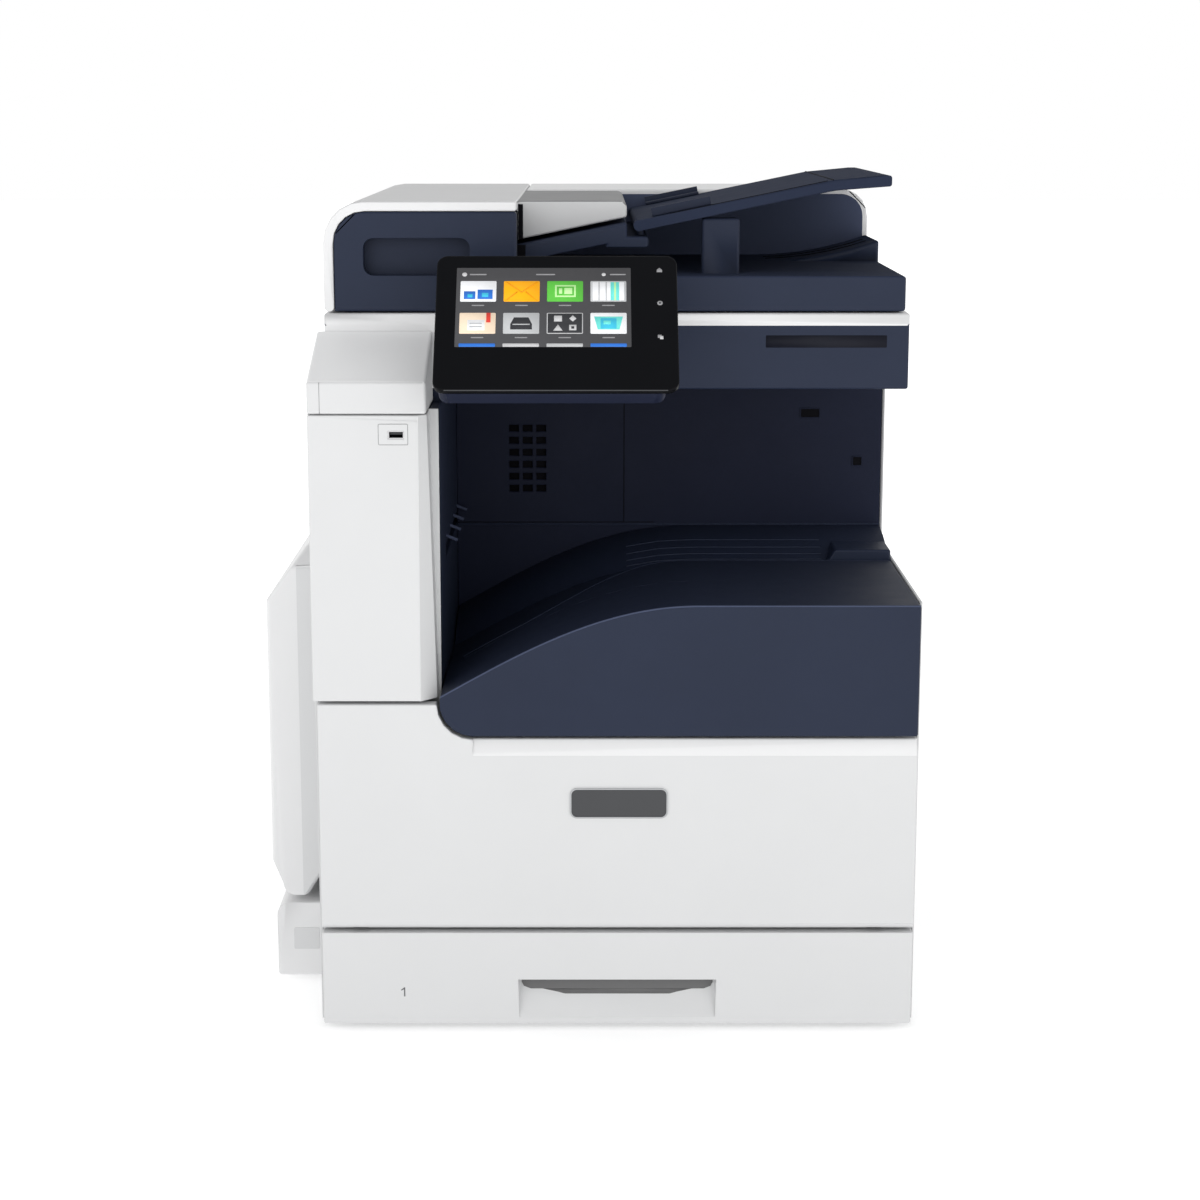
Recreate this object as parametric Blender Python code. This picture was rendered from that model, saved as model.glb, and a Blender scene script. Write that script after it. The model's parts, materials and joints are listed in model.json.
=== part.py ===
"""Office photocopier: an A3 colour machine with a document feeder and one paper drawer.

Metres, +Z up, front towards -Y, origin on the floor under the middle of the machine's box.
"""
import math

import bmesh
import bpy
from mathutils import Matrix, Vector

# Overall box
WIDTH = 0.614
DEPTH = 0.723
HEIGHT = 0.787

# Clearances
SEAT = 0.0003
SEAM = 0.0008
DOOR_GAP = 0.003
RUN = 0.0005
OVER = 0.004

# Facets
ROUND_SIDES = 16
CORNER_STEPS = 5
TRAY_STEPS = 8
SHARP_ANGLE = math.radians(35)

# Body
PANEL_REACH = 0.0615
SIDE_BULGE = 0.058
COVER_WALL = 0.003
FOOT_HEIGHT = 0.006
FOOT_RADIUS = 0.018
FOOT_CHAMFER = 0.002
FOOT_INSET = 0.040
BASE_HEIGHT = 0.094
BASE_WALL = 0.010
BASE_FLOOR = 0.006
BASE_DECK = 0.0065
PLATE = 0.002
PLATE_SETBACK = 0.045
REAR_SPACE = 0.1065
REAR_COVER_DEPTH = 0.031

# Front faces, stacked from the floor up
DRAWER_LIFT = 0.008
DRAWER_FACE_HEIGHT = 0.089
FACE_INSET = 0.0035
DOOR_THICK = 0.016
DOOR_HEIGHT = 0.182
DOOR_CHAMFER_HEIGHT = 0.015
DOOR_CHAMFER_DEPTH = 0.006
WING_HEIGHT = 0.033
WING_WIDTH = 0.109
WING_FILLET = 0.033
TOWER_DROP = 0.012
TOWER_FLARE = 0.006
CAP_FACE = 0.029
CAP_RISE = 0.037
SCANNER_SETBACK = 0.100

# Output bay
FASCIA_HEIGHT = 0.122
FASCIA_THICK = 0.010
TRAY_FALL = 0.085
TRAY_RAMP = 0.235
TRAY_DECK = 0.008
TRAY_SINK = 0.005
TRAY_RIM = 0.120
BAY_DEPTH = 0.340
BAY_WALL = 0.003
VENT_COLUMNS = 3
VENT_ROWS = 6
VENT_WIDTH = 0.010
VENT_HEIGHT = 0.007
VENT_PITCH = 0.014
VENT_BAR = 0.0055
VENT_INSET = 0.054
VENT_DROP = 0.064
EXIT_WALL = 0.010
EXIT_SLOT = 0.012

# Side door and bypass tray
SIDE_DOOR_SETBACK = 0.130
SIDE_DOOR_LENGTH = 0.370
SIDE_DOOR_LIFT = 0.091
SIDE_DOOR_HEIGHT = 0.3535
SIDE_CHAMFER = 0.0585
SIDE_CHAMFER_WIDTH = 0.045
SIDE_STEP = 0.010
SIDE_STEP_HEIGHT = 0.036
SIDE_HINGE_RADIUS = 0.012
SIDE_OPENING_INSET = 0.030
LOWER_COVER_HEIGHT = 0.076
LOWER_COVER_INSET = 0.003
LOWER_COVER_ROUND = 0.014
BYPASS_THICK = 0.011
BYPASS_HEIGHT = 0.205
BYPASS_LIFT = 0.075
BYPASS_INSET = 0.030

# Clip hinges: a pin across a pocket, held in an ear
PIN_RADIUS = 0.002
EAR_RADIUS = 0.0034
EAR_WIDTH = 0.012
POCKET_FRONT = 0.0041
POCKET_RISE = 0.007
EAR_SIDE_GAP = 0.001
CLIP_INSET = 0.036

# Drawer
DRAWER_REAR_SPACE = 0.054
DRAWER_WALL = 0.003
DRAWER_HEIGHT = 0.075
DRAWER_SIDE_GAP = 0.009
RAIL_HEIGHT = 0.006
RAIL_LIFT = 0.040
RAIL_SIDE_GAP = 0.001
PAPER_WIDTH = 0.297
PAPER_LENGTH = 0.420
GUIDE_WALL = 0.004
GUIDE_HEIGHT = 0.050
GUIDE_LENGTH = 0.050
GUIDE_FOOT = 0.020
GUIDE_SPAN_LEAST = 0.148
LIFT_PLATE_LENGTH = 0.250
LIFT_PLATE_THICK = 0.002
LIFT_PLATE_GAP = 0.010
LIFT_BARREL_RADIUS = 0.004
LIFT_EAR_WALL = 0.006
HANDLE_WIDTH = 0.183
HANDLE_LOW = 0.006
HANDLE_RAMP = 0.024
HANDLE_HIGH = 0.043
HANDLE_DEPTH = 0.012
HANDLE_LIP = 0.004

# Print engine
DRUM_COUNT = 4
DRUM_PITCH = 0.085
DRUM_RADIUS = 0.016
DRUM_LIFT = 0.072
SHAFT_RADIUS = 0.005
SHAFT_STUB = 0.003
ROLLER_END_GAP = 0.004
BELT_ROLLER_RADIUS = 0.014
BELT_THICK = 0.001
BELT_OVERHANG = 0.060
BELT_EDGE = 0.012
ENGINE_SHIFT = 0.012
BELT_DRUM_GAP = 0.0006
TONER_WIDTH = 0.070
TONER_HEIGHT = 0.040
TONER_ROUND = 0.008
TONER_GAP = 0.009
TONER_NOSE = 0.007
LASER_HEIGHT = 0.034
LASER_DEPTH = 0.400
LASER_MARGIN = 0.022
PATH_INSET = 0.031
FUSER_RADIUS = 0.014
FUSER_LIFT = 0.200
NIP = 0.0012
REGISTRATION_RADIUS = 0.010
REGISTRATION_LIFT = 0.065
EXIT_ROLLER_RADIUS = 0.009
EXIT_LIFT = 0.332
PICKUP_RADIUS = 0.018
PICKUP_LENGTH = 0.060
PICKUP_LIFT = 0.012
PICKUP_INSET = 0.062
SWITCH_WIDTH = 0.022
SWITCH_HEIGHT = 0.026
SWITCH_THICK = 0.011
SWITCH_INSET = 0.045
SWITCH_LIFT = 0.155
SWITCH_ARM = 0.011
BOARD_WIDTH = 0.250
BOARD_HEIGHT = 0.220
BOARD_THICK = 0.0016
BOARD_STANDOFF = 0.008
BOARD_POST = 0.008
BOARD_LIFT = 0.060
BOARD_INSET = 0.040
BOARD_POST_SIDES = 8
INLET_WIDTH = 0.030
INLET_HEIGHT = 0.024
INLET_DEPTH = 0.022
INLET_FLANGE = 0.008
INLET_FLANGE_THICK = 0.002
INLET_LIFT = 0.060
INLET_INSET = 0.090
USB_WIDTH = 0.014
USB_HEIGHT = 0.007
USB_DROP = 0.014
USB_INSET = 0.020

# Scanner
UPPER_HEIGHT = 0.195
SCANNER_HEIGHT = 0.0705
SCANNER_LEFT_INSET = 0.007
SCANNER_RIGHT_INSET = 0.008
SCANNER_REAR_GAP = 0.0315
SCANNER_WALL = 0.012
SCANNER_FLOOR = 0.006
SCANNER_ROOF = 0.008
GLASS_THICK = 0.0032
GLASS_LENGTH = 0.440
GLASS_WIDTH = 0.306
GLASS_LEDGE = 0.006
GLASS_SETBACK = 0.035
GLASS_INSET = 0.050
CARRIAGE_WIDTH = 0.050
CARRIAGE_HEIGHT = 0.030
CARRIAGE_DROP = 0.010
CARRIAGE_LENGTH = 0.340
CARRIAGE_START = 0.030
ROD_RADIUS = 0.004
ROD_LIFT = 0.018
ROD_SETBACK = 0.030

# Lid and document feeder
LID_GAP = 0.0015
LID_BASE = 0.0325
LID_RIGHT_INSET = 0.004
LID_REAR_INSET = 0.010
LID_HINGE_RADIUS = 0.012
LID_HINGE_INSET = 0.090
HINGE_BRACKET_WIDTH = 0.040
HINGE_BRACKET_THICK = 0.006
HINGE_BRACKET_DROP = 0.050
HINGE_BRACKET_FOOT = 0.003
PAD_THICK = 0.006
PAD_MARGIN = 0.012
FEEDER_HEIGHT = 0.1005
FEEDER_WIDTH = 0.178
FEEDER_SHELL = 0.0093
FEEDER_ROOF = 0.009
FEEDER_ROUND = 0.038
FEEDER_HEEL_ROUND = 0.020
FEEDER_FRONT_WALL = 0.022
FEEDER_HANDLE_WIDTH = 0.098
FEEDER_HANDLE_HEIGHT = 0.034
FEEDER_HANDLE_DEPTH = 0.015
FEEDER_HANDLE_LIFT = 0.033
FEEDER_HANDLE_INSET = 0.037
REAR_BLOCK_DEPTH = 0.185
REAR_BLOCK_ROUND = 0.028
FEED_ROLLER_RADIUS = 0.010
FEED_ROLLER_INSET = 0.018
FEED_SHAFT = 0.003
FEED_SEAT = 0.008
TABLE_SLAB = 0.016
TABLE_TOP = 0.059
TABLE_LENGTH = 0.112
TABLE_SLOPE = 0.204
TRAY_FRONT_INSET = 0.030
HOOD_LENGTH = 0.102
HOOD_SETBACK = 0.050
HOOD_DROP = 0.0015
HOOD_CORNER = 0.004
HOOD_SLOT = 0.004
DOC_TRAY_THICK = 0.010
DOC_TRAY_RUN = 0.185
DOC_FLAP_RUN = 0.053
DOC_GUIDE_WALL = 0.003
DOC_GUIDE_HEIGHT = 0.008
DOC_GUIDE_LENGTH = 0.056
DOC_GUIDE_FOOT = 0.015
DOC_GUIDE_OFFSET = 0.014
DOC_GUIDE_INSET = 0.012
POST_WIDTH = 0.035
POST_DEPTH = 0.025
POST_OFFSET = 0.060
LIP_LENGTH = 0.120
LIP_HEIGHT = 0.021
LIP_DEPTH = 0.110

# Control panel
PANEL_WIDTH = 0.214
PANEL_LENGTH = 0.149
PANEL_THICK = 0.020
PANEL_TILT = math.radians(42.8)
PANEL_LIFT = 0.0177
PANEL_OFFSET = -0.026
PANEL_ROUND = 0.010
PANEL_AXIS_UP = 0.035
PANEL_AXIS_BACK = 0.030
ARM_WIDTH = 0.090
ARM_RADIUS = 0.008
LUG_WIDTH = 0.010
PANEL_PIN = 0.0035
BRACKET_PLATE = 0.006

# Places that follow from the sizes above
LEFT = -WIDTH / 2
RIGHT = WIDTH / 2
NOSE = -DEPTH / 2
REAR = DEPTH / 2
FRONT = NOSE + PANEL_REACH
BODY_LEFT = LEFT + SIDE_BULGE
IN_LEFT = BODY_LEFT + COVER_WALL + SEAT
IN_RIGHT = RIGHT - COVER_WALL - SEAT
FACE_LEFT = BODY_LEFT + FACE_INSET
FACE_RIGHT = RIGHT - FACE_INSET
COVER_REAR = REAR - REAR_COVER_DEPTH - SEAT
BASE_BOTTOM = FOOT_HEIGHT + SEAT
BASE_TOP = FOOT_HEIGHT + BASE_HEIGHT
PLATE_FRONT = FRONT + PLATE_SETBACK
PLATE_REAR = REAR - REAR_SPACE
DRAWER_TOP = DRAWER_LIFT + DRAWER_FACE_HEIGHT
DOOR_BOTTOM = DRAWER_TOP + DOOR_GAP
DOOR_TOP = DOOR_BOTTOM + DOOR_HEIGHT
WING_RIGHT = FACE_LEFT + WING_WIDTH
WING_TOP = DOOR_TOP + WING_HEIGHT
TOWER_BOTTOM = WING_TOP + DOOR_GAP
FASCIA_BOTTOM = DOOR_TOP + DOOR_GAP
TRAY_HIGH = FASCIA_BOTTOM + FASCIA_HEIGHT
TRAY_LEFT = WING_RIGHT + DOOR_GAP
BAY_BACK = FRONT + BAY_DEPTH
SCANNER_BOTTOM = HEIGHT - UPPER_HEIGHT
TOWER_TOP = SCANNER_BOTTOM - TOWER_DROP
CAP_BOTTOM = TOWER_TOP + SEAM
SCANNER_TOP = SCANNER_BOTTOM + SCANNER_HEIGHT
SCANNER_FRONT = FRONT + SCANNER_SETBACK
SCANNER_LEFT = BODY_LEFT + SCANNER_LEFT_INSET
SCANNER_RIGHT = RIGHT - SCANNER_RIGHT_INSET
SCANNER_REAR = REAR - SCANNER_REAR_GAP
LID_BOTTOM = SCANNER_TOP + LID_GAP
LID_DECK = LID_BOTTOM + LID_BASE
LID_LEFT = SCANNER_LEFT
LID_RIGHT = SCANNER_RIGHT - LID_RIGHT_INSET
LID_REAR = SCANNER_REAR - LID_REAR_INSET
FEEDER_TOP = LID_BOTTOM + FEEDER_HEIGHT
FEEDER_RIGHT = LID_LEFT + FEEDER_WIDTH
BLOCK_FRONT = LID_REAR - REAR_BLOCK_DEPTH
TRAY_FRONT = SCANNER_FRONT + TRAY_FRONT_INSET
TRAY_BACK = BLOCK_FRONT - SEAM
DRUM_Z = BASE_TOP + DRUM_LIFT
DRUM_START = (IN_LEFT + IN_RIGHT - (DRUM_COUNT - 1) * DRUM_PITCH) / 2 - ENGINE_SHIFT

for leftover in list(bpy.data.objects):
    bpy.data.objects.remove(leftover, do_unlink=True)

# Finishes: colour in linear light, roughness, metallic value
FINISHES = {
    "white_plastic": ((0.72, 0.72, 0.72), 0.45, 0.0),
    "grey_plastic": ((0.39, 0.39, 0.40), 0.50, 0.0),
    "navy_plastic": ((0.045, 0.052, 0.085), 0.50, 0.0),
    "black_gloss": ((0.006, 0.006, 0.008), 0.15, 0.0),
    "dark_plastic": ((0.020, 0.021, 0.025), 0.55, 0.0),
    "rubber": ((0.018, 0.018, 0.018), 0.85, 0.0),
    "sheet_steel": ((0.55, 0.56, 0.58), 0.40, 1.0),
    "shaft_steel": ((0.60, 0.60, 0.62), 0.25, 1.0),
    "glass": ((0.60, 0.68, 0.66), 0.05, 0.0),
    "white_foam": ((0.80, 0.80, 0.78), 0.80, 0.0),
    "belt_film": ((0.012, 0.012, 0.014), 0.25, 0.0),
    "drum_green": ((0.05, 0.16, 0.14), 0.20, 0.0),
    "board_green": ((0.02, 0.12, 0.05), 0.50, 0.0),
    "toner_black": ((0.02, 0.02, 0.02), 0.50, 0.0),
    "toner_cyan": ((0.02, 0.30, 0.55), 0.50, 0.0),
    "toner_magenta": ((0.55, 0.04, 0.22), 0.50, 0.0),
    "toner_yellow": ((0.75, 0.58, 0.03), 0.50, 0.0),
}


def finish(name):
    material = bpy.data.materials.get(name)
    if material:
        return material
    colour, roughness, metallic = FINISHES[name]
    material = bpy.data.materials.new(name)
    material.use_nodes = True
    shader = material.node_tree.nodes["Principled BSDF"]
    shader.inputs["Base Color"].default_value = (*colour, 1.0)
    shader.inputs["Roughness"].default_value = roughness
    shader.inputs["Metallic"].default_value = metallic
    return material


def spread(axis, flat, along):
    """A point from its two coordinates across an axis and its place along it."""
    first, second = flat
    if axis == "X":
        return Vector((along, first, second))
    if axis == "Y":
        return Vector((first, along, second))
    return Vector((first, second, along))


def prism(axis, outline, start, end):
    """An outline across an axis, drawn out from start to end along it."""
    shape = bmesh.new()
    corners = [shape.verts.new(spread(axis, point, start)) for point in outline]
    face = shape.faces.new(corners)
    drawn = bmesh.ops.extrude_face_region(shape, geom=[face])
    moved = [item for item in drawn["geom"] if isinstance(item, bmesh.types.BMVert)]
    shift = spread(axis, (0.0, 0.0), end - start)
    bmesh.ops.translate(shape, verts=moved, vec=shift)
    bmesh.ops.recalc_face_normals(shape, faces=shape.faces)
    return shape


def block(x_range, y_range, z_range):
    """A box between two corners."""
    (left, right), (front, back), (low, high) = x_range, y_range, z_range
    outline = [(left, front), (right, front), (right, back), (left, back)]
    return prism("Z", outline, low, high)


def arc(centre, radius, first, last, steps):
    """Points on an arc, angles in degrees."""
    points = []
    for step in range(steps + 1):
        angle = math.radians(first + (last - first) * step / steps)
        points.append((centre[0] + radius * math.cos(angle), centre[1] + radius * math.sin(angle)))
    return points


def rounded(corners, steps=CORNER_STEPS):
    """An outline whose corners are (across, up, radius), filleted where the radius isn't zero."""
    outline = []
    count = len(corners)
    for index, (across, up, radius) in enumerate(corners):
        here = Vector((across, up))
        if radius <= 0.0:
            outline.append((across, up))
            continue
        before = (Vector(corners[index - 1][:2]) - here).normalized()
        after = (Vector(corners[(index + 1) % count][:2]) - here).normalized()
        half = before.angle(after) / 2
        first = here + before * (radius / math.tan(half))
        last = here + after * (radius / math.tan(half))
        centre = here + (before + after).normalized() * (radius / math.sin(half))
        start = math.atan2(first.y - centre.y, first.x - centre.x)
        turn = math.atan2(last.y - centre.y, last.x - centre.x) - start
        turn = (turn + math.pi) % (2 * math.pi) - math.pi
        outline += arc(centre, radius, math.degrees(start), math.degrees(start + turn), steps)
    return outline


def rod(axis, centre, radius, start, end, sides=ROUND_SIDES):
    """A round bar along an axis."""
    return prism(axis, arc(centre, radius, 0.0, 360.0, sides)[:-1], start, end)


def turned(axis, centre, profile, sides=ROUND_SIDES):
    """A turned piece: rings of (radius, place along the axis), closed at both ends."""
    shape = bmesh.new()
    rings = []
    for radius, along in profile:
        ring = arc(centre, radius, 0.0, 360.0, sides)[:-1]
        rings.append([shape.verts.new(spread(axis, point, along)) for point in ring])
    for lower, upper in zip(rings, rings[1:]):
        for side in range(sides):
            after = (side + 1) % sides
            shape.faces.new((lower[side], lower[after], upper[after], upper[side]))
    shape.faces.new(rings[0])
    shape.faces.new(rings[-1])
    bmesh.ops.recalc_face_normals(shape, faces=shape.faces)
    return shape


def loose(shape, name):
    mesh = bpy.data.meshes.new(name)
    shape.to_mesh(mesh)
    shape.free()
    item = bpy.data.objects.new(name, mesh)
    bpy.context.scene.collection.objects.link(item)
    return item


def combine(body, tools, operation):
    """One Boolean operation of several tools on a body."""
    target = loose(body, "body")
    helpers = [loose(tool, "tool") for tool in tools]
    for helper in helpers:
        step = target.modifiers.new("step", "BOOLEAN")
        step.operation = operation
        step.solver = "EXACT"
        step.object = helper
    graph = bpy.context.evaluated_depsgraph_get()
    mesh = bpy.data.meshes.new_from_object(target.evaluated_get(graph))
    result = bmesh.new()
    result.from_mesh(mesh)
    for item in [target] + helpers:
        bpy.data.objects.remove(item, do_unlink=True)
    return result


def union(body, *tools):
    return combine(body, tools, "UNION")


def cut(body, *tools):
    return combine(body, tools, "DIFFERENCE")


def node(name, shape, finish_name, pivot=(0.0, 0.0, 0.0)):
    """A finished sub-part, its origin at its pivot."""
    item = loose(shape, name)
    item.data.transform(Matrix.Translation(-Vector(pivot)))
    item.location = pivot
    item.data.materials.append(finish(finish_name))
    item.data.shade_smooth()
    item.data.set_sharp_from_angle(angle=SHARP_ANGLE)
    return item


class ClipHinge:
    """A hinge in the plane across an axis: up runs along the leaf, out is the way it opens."""

    def __init__(self, axis, pivot, up, out, centres, arm):
        self.axis = axis
        self.pivot = Vector(pivot)
        self.up = Vector(up).normalized()
        self.out = Vector(out).normalized()
        self.centres = centres
        self.arm = arm

    def flat(self, up, out):
        return tuple(self.pivot + self.up * up + self.out * out)

    def pockets(self, drop, reach):
        outline = [
            self.flat(-drop, -reach), self.flat(POCKET_RISE, -reach),
            self.flat(POCKET_RISE, POCKET_FRONT), self.flat(-drop, POCKET_FRONT),
        ]
        half = EAR_WIDTH / 2 + EAR_SIDE_GAP
        return [prism(self.axis, outline, middle - half, middle + half) for middle in self.centres]

    def pins(self):
        half = EAR_WIDTH / 2 + EAR_SIDE_GAP + OVER
        return [rod(self.axis, self.pivot, PIN_RADIUS, middle - half, middle + half)
                for middle in self.centres]

    def ears(self):
        half = EAR_WIDTH / 2
        nose = []
        for step in range(ROUND_SIDES // 2 + 1):
            angle = math.pi * step / (ROUND_SIDES // 2)
            nose.append(self.flat(EAR_RADIUS * math.cos(angle), EAR_RADIUS * math.sin(angle)))
        outline = nose + [self.flat(-EAR_RADIUS, -self.arm), self.flat(EAR_RADIUS, -self.arm)]
        ears = []
        for middle in self.centres:
            body = prism(self.axis, outline, middle - half, middle + half)
            hole = rod(self.axis, self.pivot, PIN_RADIUS + SEAT, middle - half - OVER,
                       middle + half + OVER)
            ears.append(cut(body, hole))
        return ears

    def leaf(self, body, drop, reach):
        """The moving leaf with its pockets cut and its pins put in."""
        return union(cut(body, *self.pockets(drop, reach)), *self.pins())


def tray_height(x):
    """Height of the output tray's rim, which falls to the left in a quarter sine."""
    share = min(max((x - TRAY_LEFT) / TRAY_RAMP, 0.0), 1.0)
    return TRAY_HIGH - TRAY_FALL * (1.0 - math.sin(share * math.pi / 2))


def tray_line(drop):
    """The rim's line from left to right, lowered by drop."""
    line = []
    for step in range(TRAY_STEPS + 1):
        x = TRAY_LEFT + TRAY_RAMP * step / TRAY_STEPS
        line.append((x, tray_height(x) - drop))
    line.append((FACE_RIGHT, TRAY_HIGH - drop))
    return line


# Shafts that run through both frame plates: x, z
DRUM_X = [DRUM_START + index * DRUM_PITCH for index in range(DRUM_COUNT)]
BELT_Z = DRUM_Z + DRUM_RADIUS + BELT_DRUM_GAP + BELT_THICK + RUN + BELT_ROLLER_RADIUS
BELT_LEFT = DRUM_X[0] - BELT_OVERHANG
BELT_RIGHT = DRUM_X[-1] + BELT_OVERHANG
PRESS_X = IN_LEFT + PATH_INSET
FUSER_X = PRESS_X + 2 * FUSER_RADIUS + NIP
FUSER_Z = BASE_TOP + FUSER_LIFT
REGISTRATION_Z = BASE_TOP + REGISTRATION_LIFT
EXIT_RIGHT = TRAY_LEFT - SEAM
EXIT_X = EXIT_RIGHT - EXIT_WALL - RUN - EXIT_ROLLER_RADIUS
EXIT_Z = BASE_TOP + EXIT_LIFT
PICKUP_X = IN_LEFT + PICKUP_INSET
PICKUP_Z = BASE_TOP + PICKUP_LIFT
TONER_BOTTOM = BELT_Z + BELT_ROLLER_RADIUS + RUN + BELT_THICK + TONER_GAP
SHAFTS = [(x, DRUM_Z) for x in DRUM_X] + [
    (BELT_LEFT, BELT_Z), (BELT_RIGHT, BELT_Z), (PRESS_X, FUSER_Z), (FUSER_X, FUSER_Z),
    (PRESS_X, REGISTRATION_Z), (EXIT_X, EXIT_Z), (PICKUP_X, PICKUP_Z),
]
ENGINE_FRONT = PLATE_FRONT + PLATE
ENGINE_REAR = PLATE_REAR - PLATE


def shaft_holes(front, rear):
    return [rod("Y", place, SHAFT_RADIUS + SEAT, front, rear) for place in SHAFTS]


# Base and frame
CAVITY_LEFT = IN_LEFT + BASE_WALL
CAVITY_RIGHT = IN_RIGHT - BASE_WALL
CAVITY_FLOOR = BASE_BOTTOM + BASE_FLOOR
CAVITY_ROOF = BASE_TOP - BASE_DECK
BASE_FRONT = FRONT + DOOR_THICK + DOOR_GAP
DRAWER_FRONT = FRONT + DOOR_THICK + SEAT
RAIL_Z = BASE_BOTTOM + RAIL_LIFT


def make_base_frame():
    shell = block((IN_LEFT, IN_RIGHT), (BASE_FRONT, COVER_REAR), (BASE_BOTTOM, BASE_TOP))
    cavity = block((CAVITY_LEFT, CAVITY_RIGHT), (BASE_FRONT - OVER, COVER_REAR - BASE_WALL),
                   (CAVITY_FLOOR, CAVITY_ROOF))
    half = PICKUP_RADIUS + OVER
    slot_half = PICKUP_LENGTH / 2 + OVER
    slot = block((PICKUP_X - half, PICKUP_X + half), (-slot_half, slot_half),
                 (CAVITY_ROOF - OVER, BASE_TOP + OVER))
    reach = DRAWER_SIDE_GAP - RAIL_SIDE_GAP
    rails = []
    for near, far in ((CAVITY_LEFT - OVER, CAVITY_LEFT + reach),
                      (CAVITY_RIGHT - reach, CAVITY_RIGHT + OVER)):
        rails.append(block((near, far), (BASE_FRONT, COVER_REAR - BASE_WALL + OVER),
                           (RAIL_Z, RAIL_Z + RAIL_HEIGHT)))
    node("base_frame", union(cut(shell, cavity, slot), *rails), "sheet_steel")


def make_feet():
    places = {
        "foot_front_left": (IN_LEFT + FOOT_INSET, BASE_FRONT + FOOT_INSET),
        "foot_front_right": (IN_RIGHT - FOOT_INSET, BASE_FRONT + FOOT_INSET),
        "foot_rear_left": (IN_LEFT + FOOT_INSET, COVER_REAR - FOOT_INSET),
        "foot_rear_right": (IN_RIGHT - FOOT_INSET, COVER_REAR - FOOT_INSET),
    }
    waist = FOOT_RADIUS - FOOT_CHAMFER
    for name, centre in places.items():
        profile = [(waist, 0.0), (FOOT_RADIUS, FOOT_CHAMFER), (FOOT_RADIUS, FOOT_HEIGHT)]
        node(name, turned("Z", centre, profile), "rubber")


def toner_outline(x, grow):
    low, high = TONER_BOTTOM - grow, TONER_BOTTOM + TONER_HEIGHT + grow
    half = TONER_WIDTH / 2 + grow
    radius = TONER_ROUND + grow
    corners = [(x - half, low), (x + half, low), (x + half, high), (x - half, high)]
    return rounded([(across, up, radius) for across, up in corners])


FRONT_HINGE = ClipHinge(
    "X", (FRONT + DOOR_THICK / 2, DOOR_BOTTOM + DOOR_THICK / 2), (0, 1), (-1, 0),
    (FACE_LEFT + CLIP_INSET, FACE_RIGHT - CLIP_INSET),
    PLATE_SETBACK - DOOR_THICK / 2 + PLATE / 2)
SWITCH_X = IN_RIGHT - SWITCH_INSET
SWITCH_Z = BASE_TOP + SWITCH_LIFT
SWITCH_HINGE = ClipHinge("X", (PLATE_FRONT - SWITCH_ARM, SWITCH_Z), (0, 1), (-1, 0),
                         (SWITCH_X,), SWITCH_ARM + PLATE / 2)


def make_front_plate():
    low = BASE_TOP + SEAT
    under = TRAY_SINK + TRAY_DECK + SEAT
    top_line = [point for point in reversed(tray_line(under)) if point[0] > EXIT_RIGHT]
    outline = [(IN_LEFT, low), (FACE_RIGHT, low)] + top_line
    outline += [(EXIT_RIGHT, top_line[-1][1]), (EXIT_RIGHT, CAP_BOTTOM - SEAT),
                (IN_LEFT, CAP_BOTTOM - SEAT)]
    plate = prism("Y", outline, PLATE_FRONT, ENGINE_FRONT)
    holes = shaft_holes(PLATE_FRONT - OVER, ENGINE_FRONT + OVER)
    for x in DRUM_X:
        holes.append(prism("Y", toner_outline(x, SEAT), PLATE_FRONT - OVER, ENGINE_FRONT + OVER))
    plate = union(cut(plate, *holes), *FRONT_HINGE.ears(), *SWITCH_HINGE.ears())
    node("front_frame_plate", plate, "sheet_steel")


def make_rear_plate():
    plate = block((IN_LEFT, IN_RIGHT), (ENGINE_REAR, PLATE_REAR),
                  (BASE_TOP + SEAT, SCANNER_BOTTOM - SEAT))
    plate = cut(plate, *shaft_holes(ENGINE_REAR - OVER, PLATE_REAR + OVER))
    node("rear_frame_plate", plate, "sheet_steel")


# Covers
SIDE_FRONT = FRONT + SIDE_DOOR_SETBACK
SIDE_REAR = SIDE_FRONT + SIDE_DOOR_LENGTH
SIDE_TOP = SIDE_DOOR_LIFT + SIDE_DOOR_HEIGHT
SIDE_AXIS = (LEFT + SIDE_STEP + SIDE_HINGE_RADIUS, SIDE_DOOR_LIFT + SIDE_HINGE_RADIUS)
SIDE_HINGE = ClipHinge("Y", SIDE_AXIS, (0, 1), (-1, 0),
                       (SIDE_FRONT + CLIP_INSET, SIDE_REAR - CLIP_INSET),
                       BODY_LEFT - SIDE_AXIS[0] + COVER_WALL / 2)
INLET_X = IN_RIGHT - INLET_INSET
INLET_Z = BASE_BOTTOM + INLET_LIFT


def under_cap(front, rear, low):
    """An upright wall's outline that steps down under the tower cap."""
    step = SCANNER_FRONT + SEAM
    top, cap = SCANNER_BOTTOM - SEAT, CAP_BOTTOM - SEAM
    return [(front, low), (rear, low), (rear, top), (step, top), (step, cap), (front, cap)]


def make_left_cover():
    outline = under_cap(PLATE_FRONT, COVER_REAR, BASE_BOTTOM)
    cover = prism("X", outline, BODY_LEFT, BODY_LEFT + COVER_WALL)
    opening = block((BODY_LEFT - OVER, BODY_LEFT + COVER_WALL + OVER),
                    (SIDE_FRONT + SIDE_OPENING_INSET, SIDE_REAR - SIDE_OPENING_INSET),
                    (SIDE_DOOR_LIFT + SIDE_STEP_HEIGHT, SIDE_TOP - SIDE_CHAMFER))
    node("left_cover", union(cut(cover, opening), *SIDE_HINGE.ears()), "white_plastic")


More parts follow.
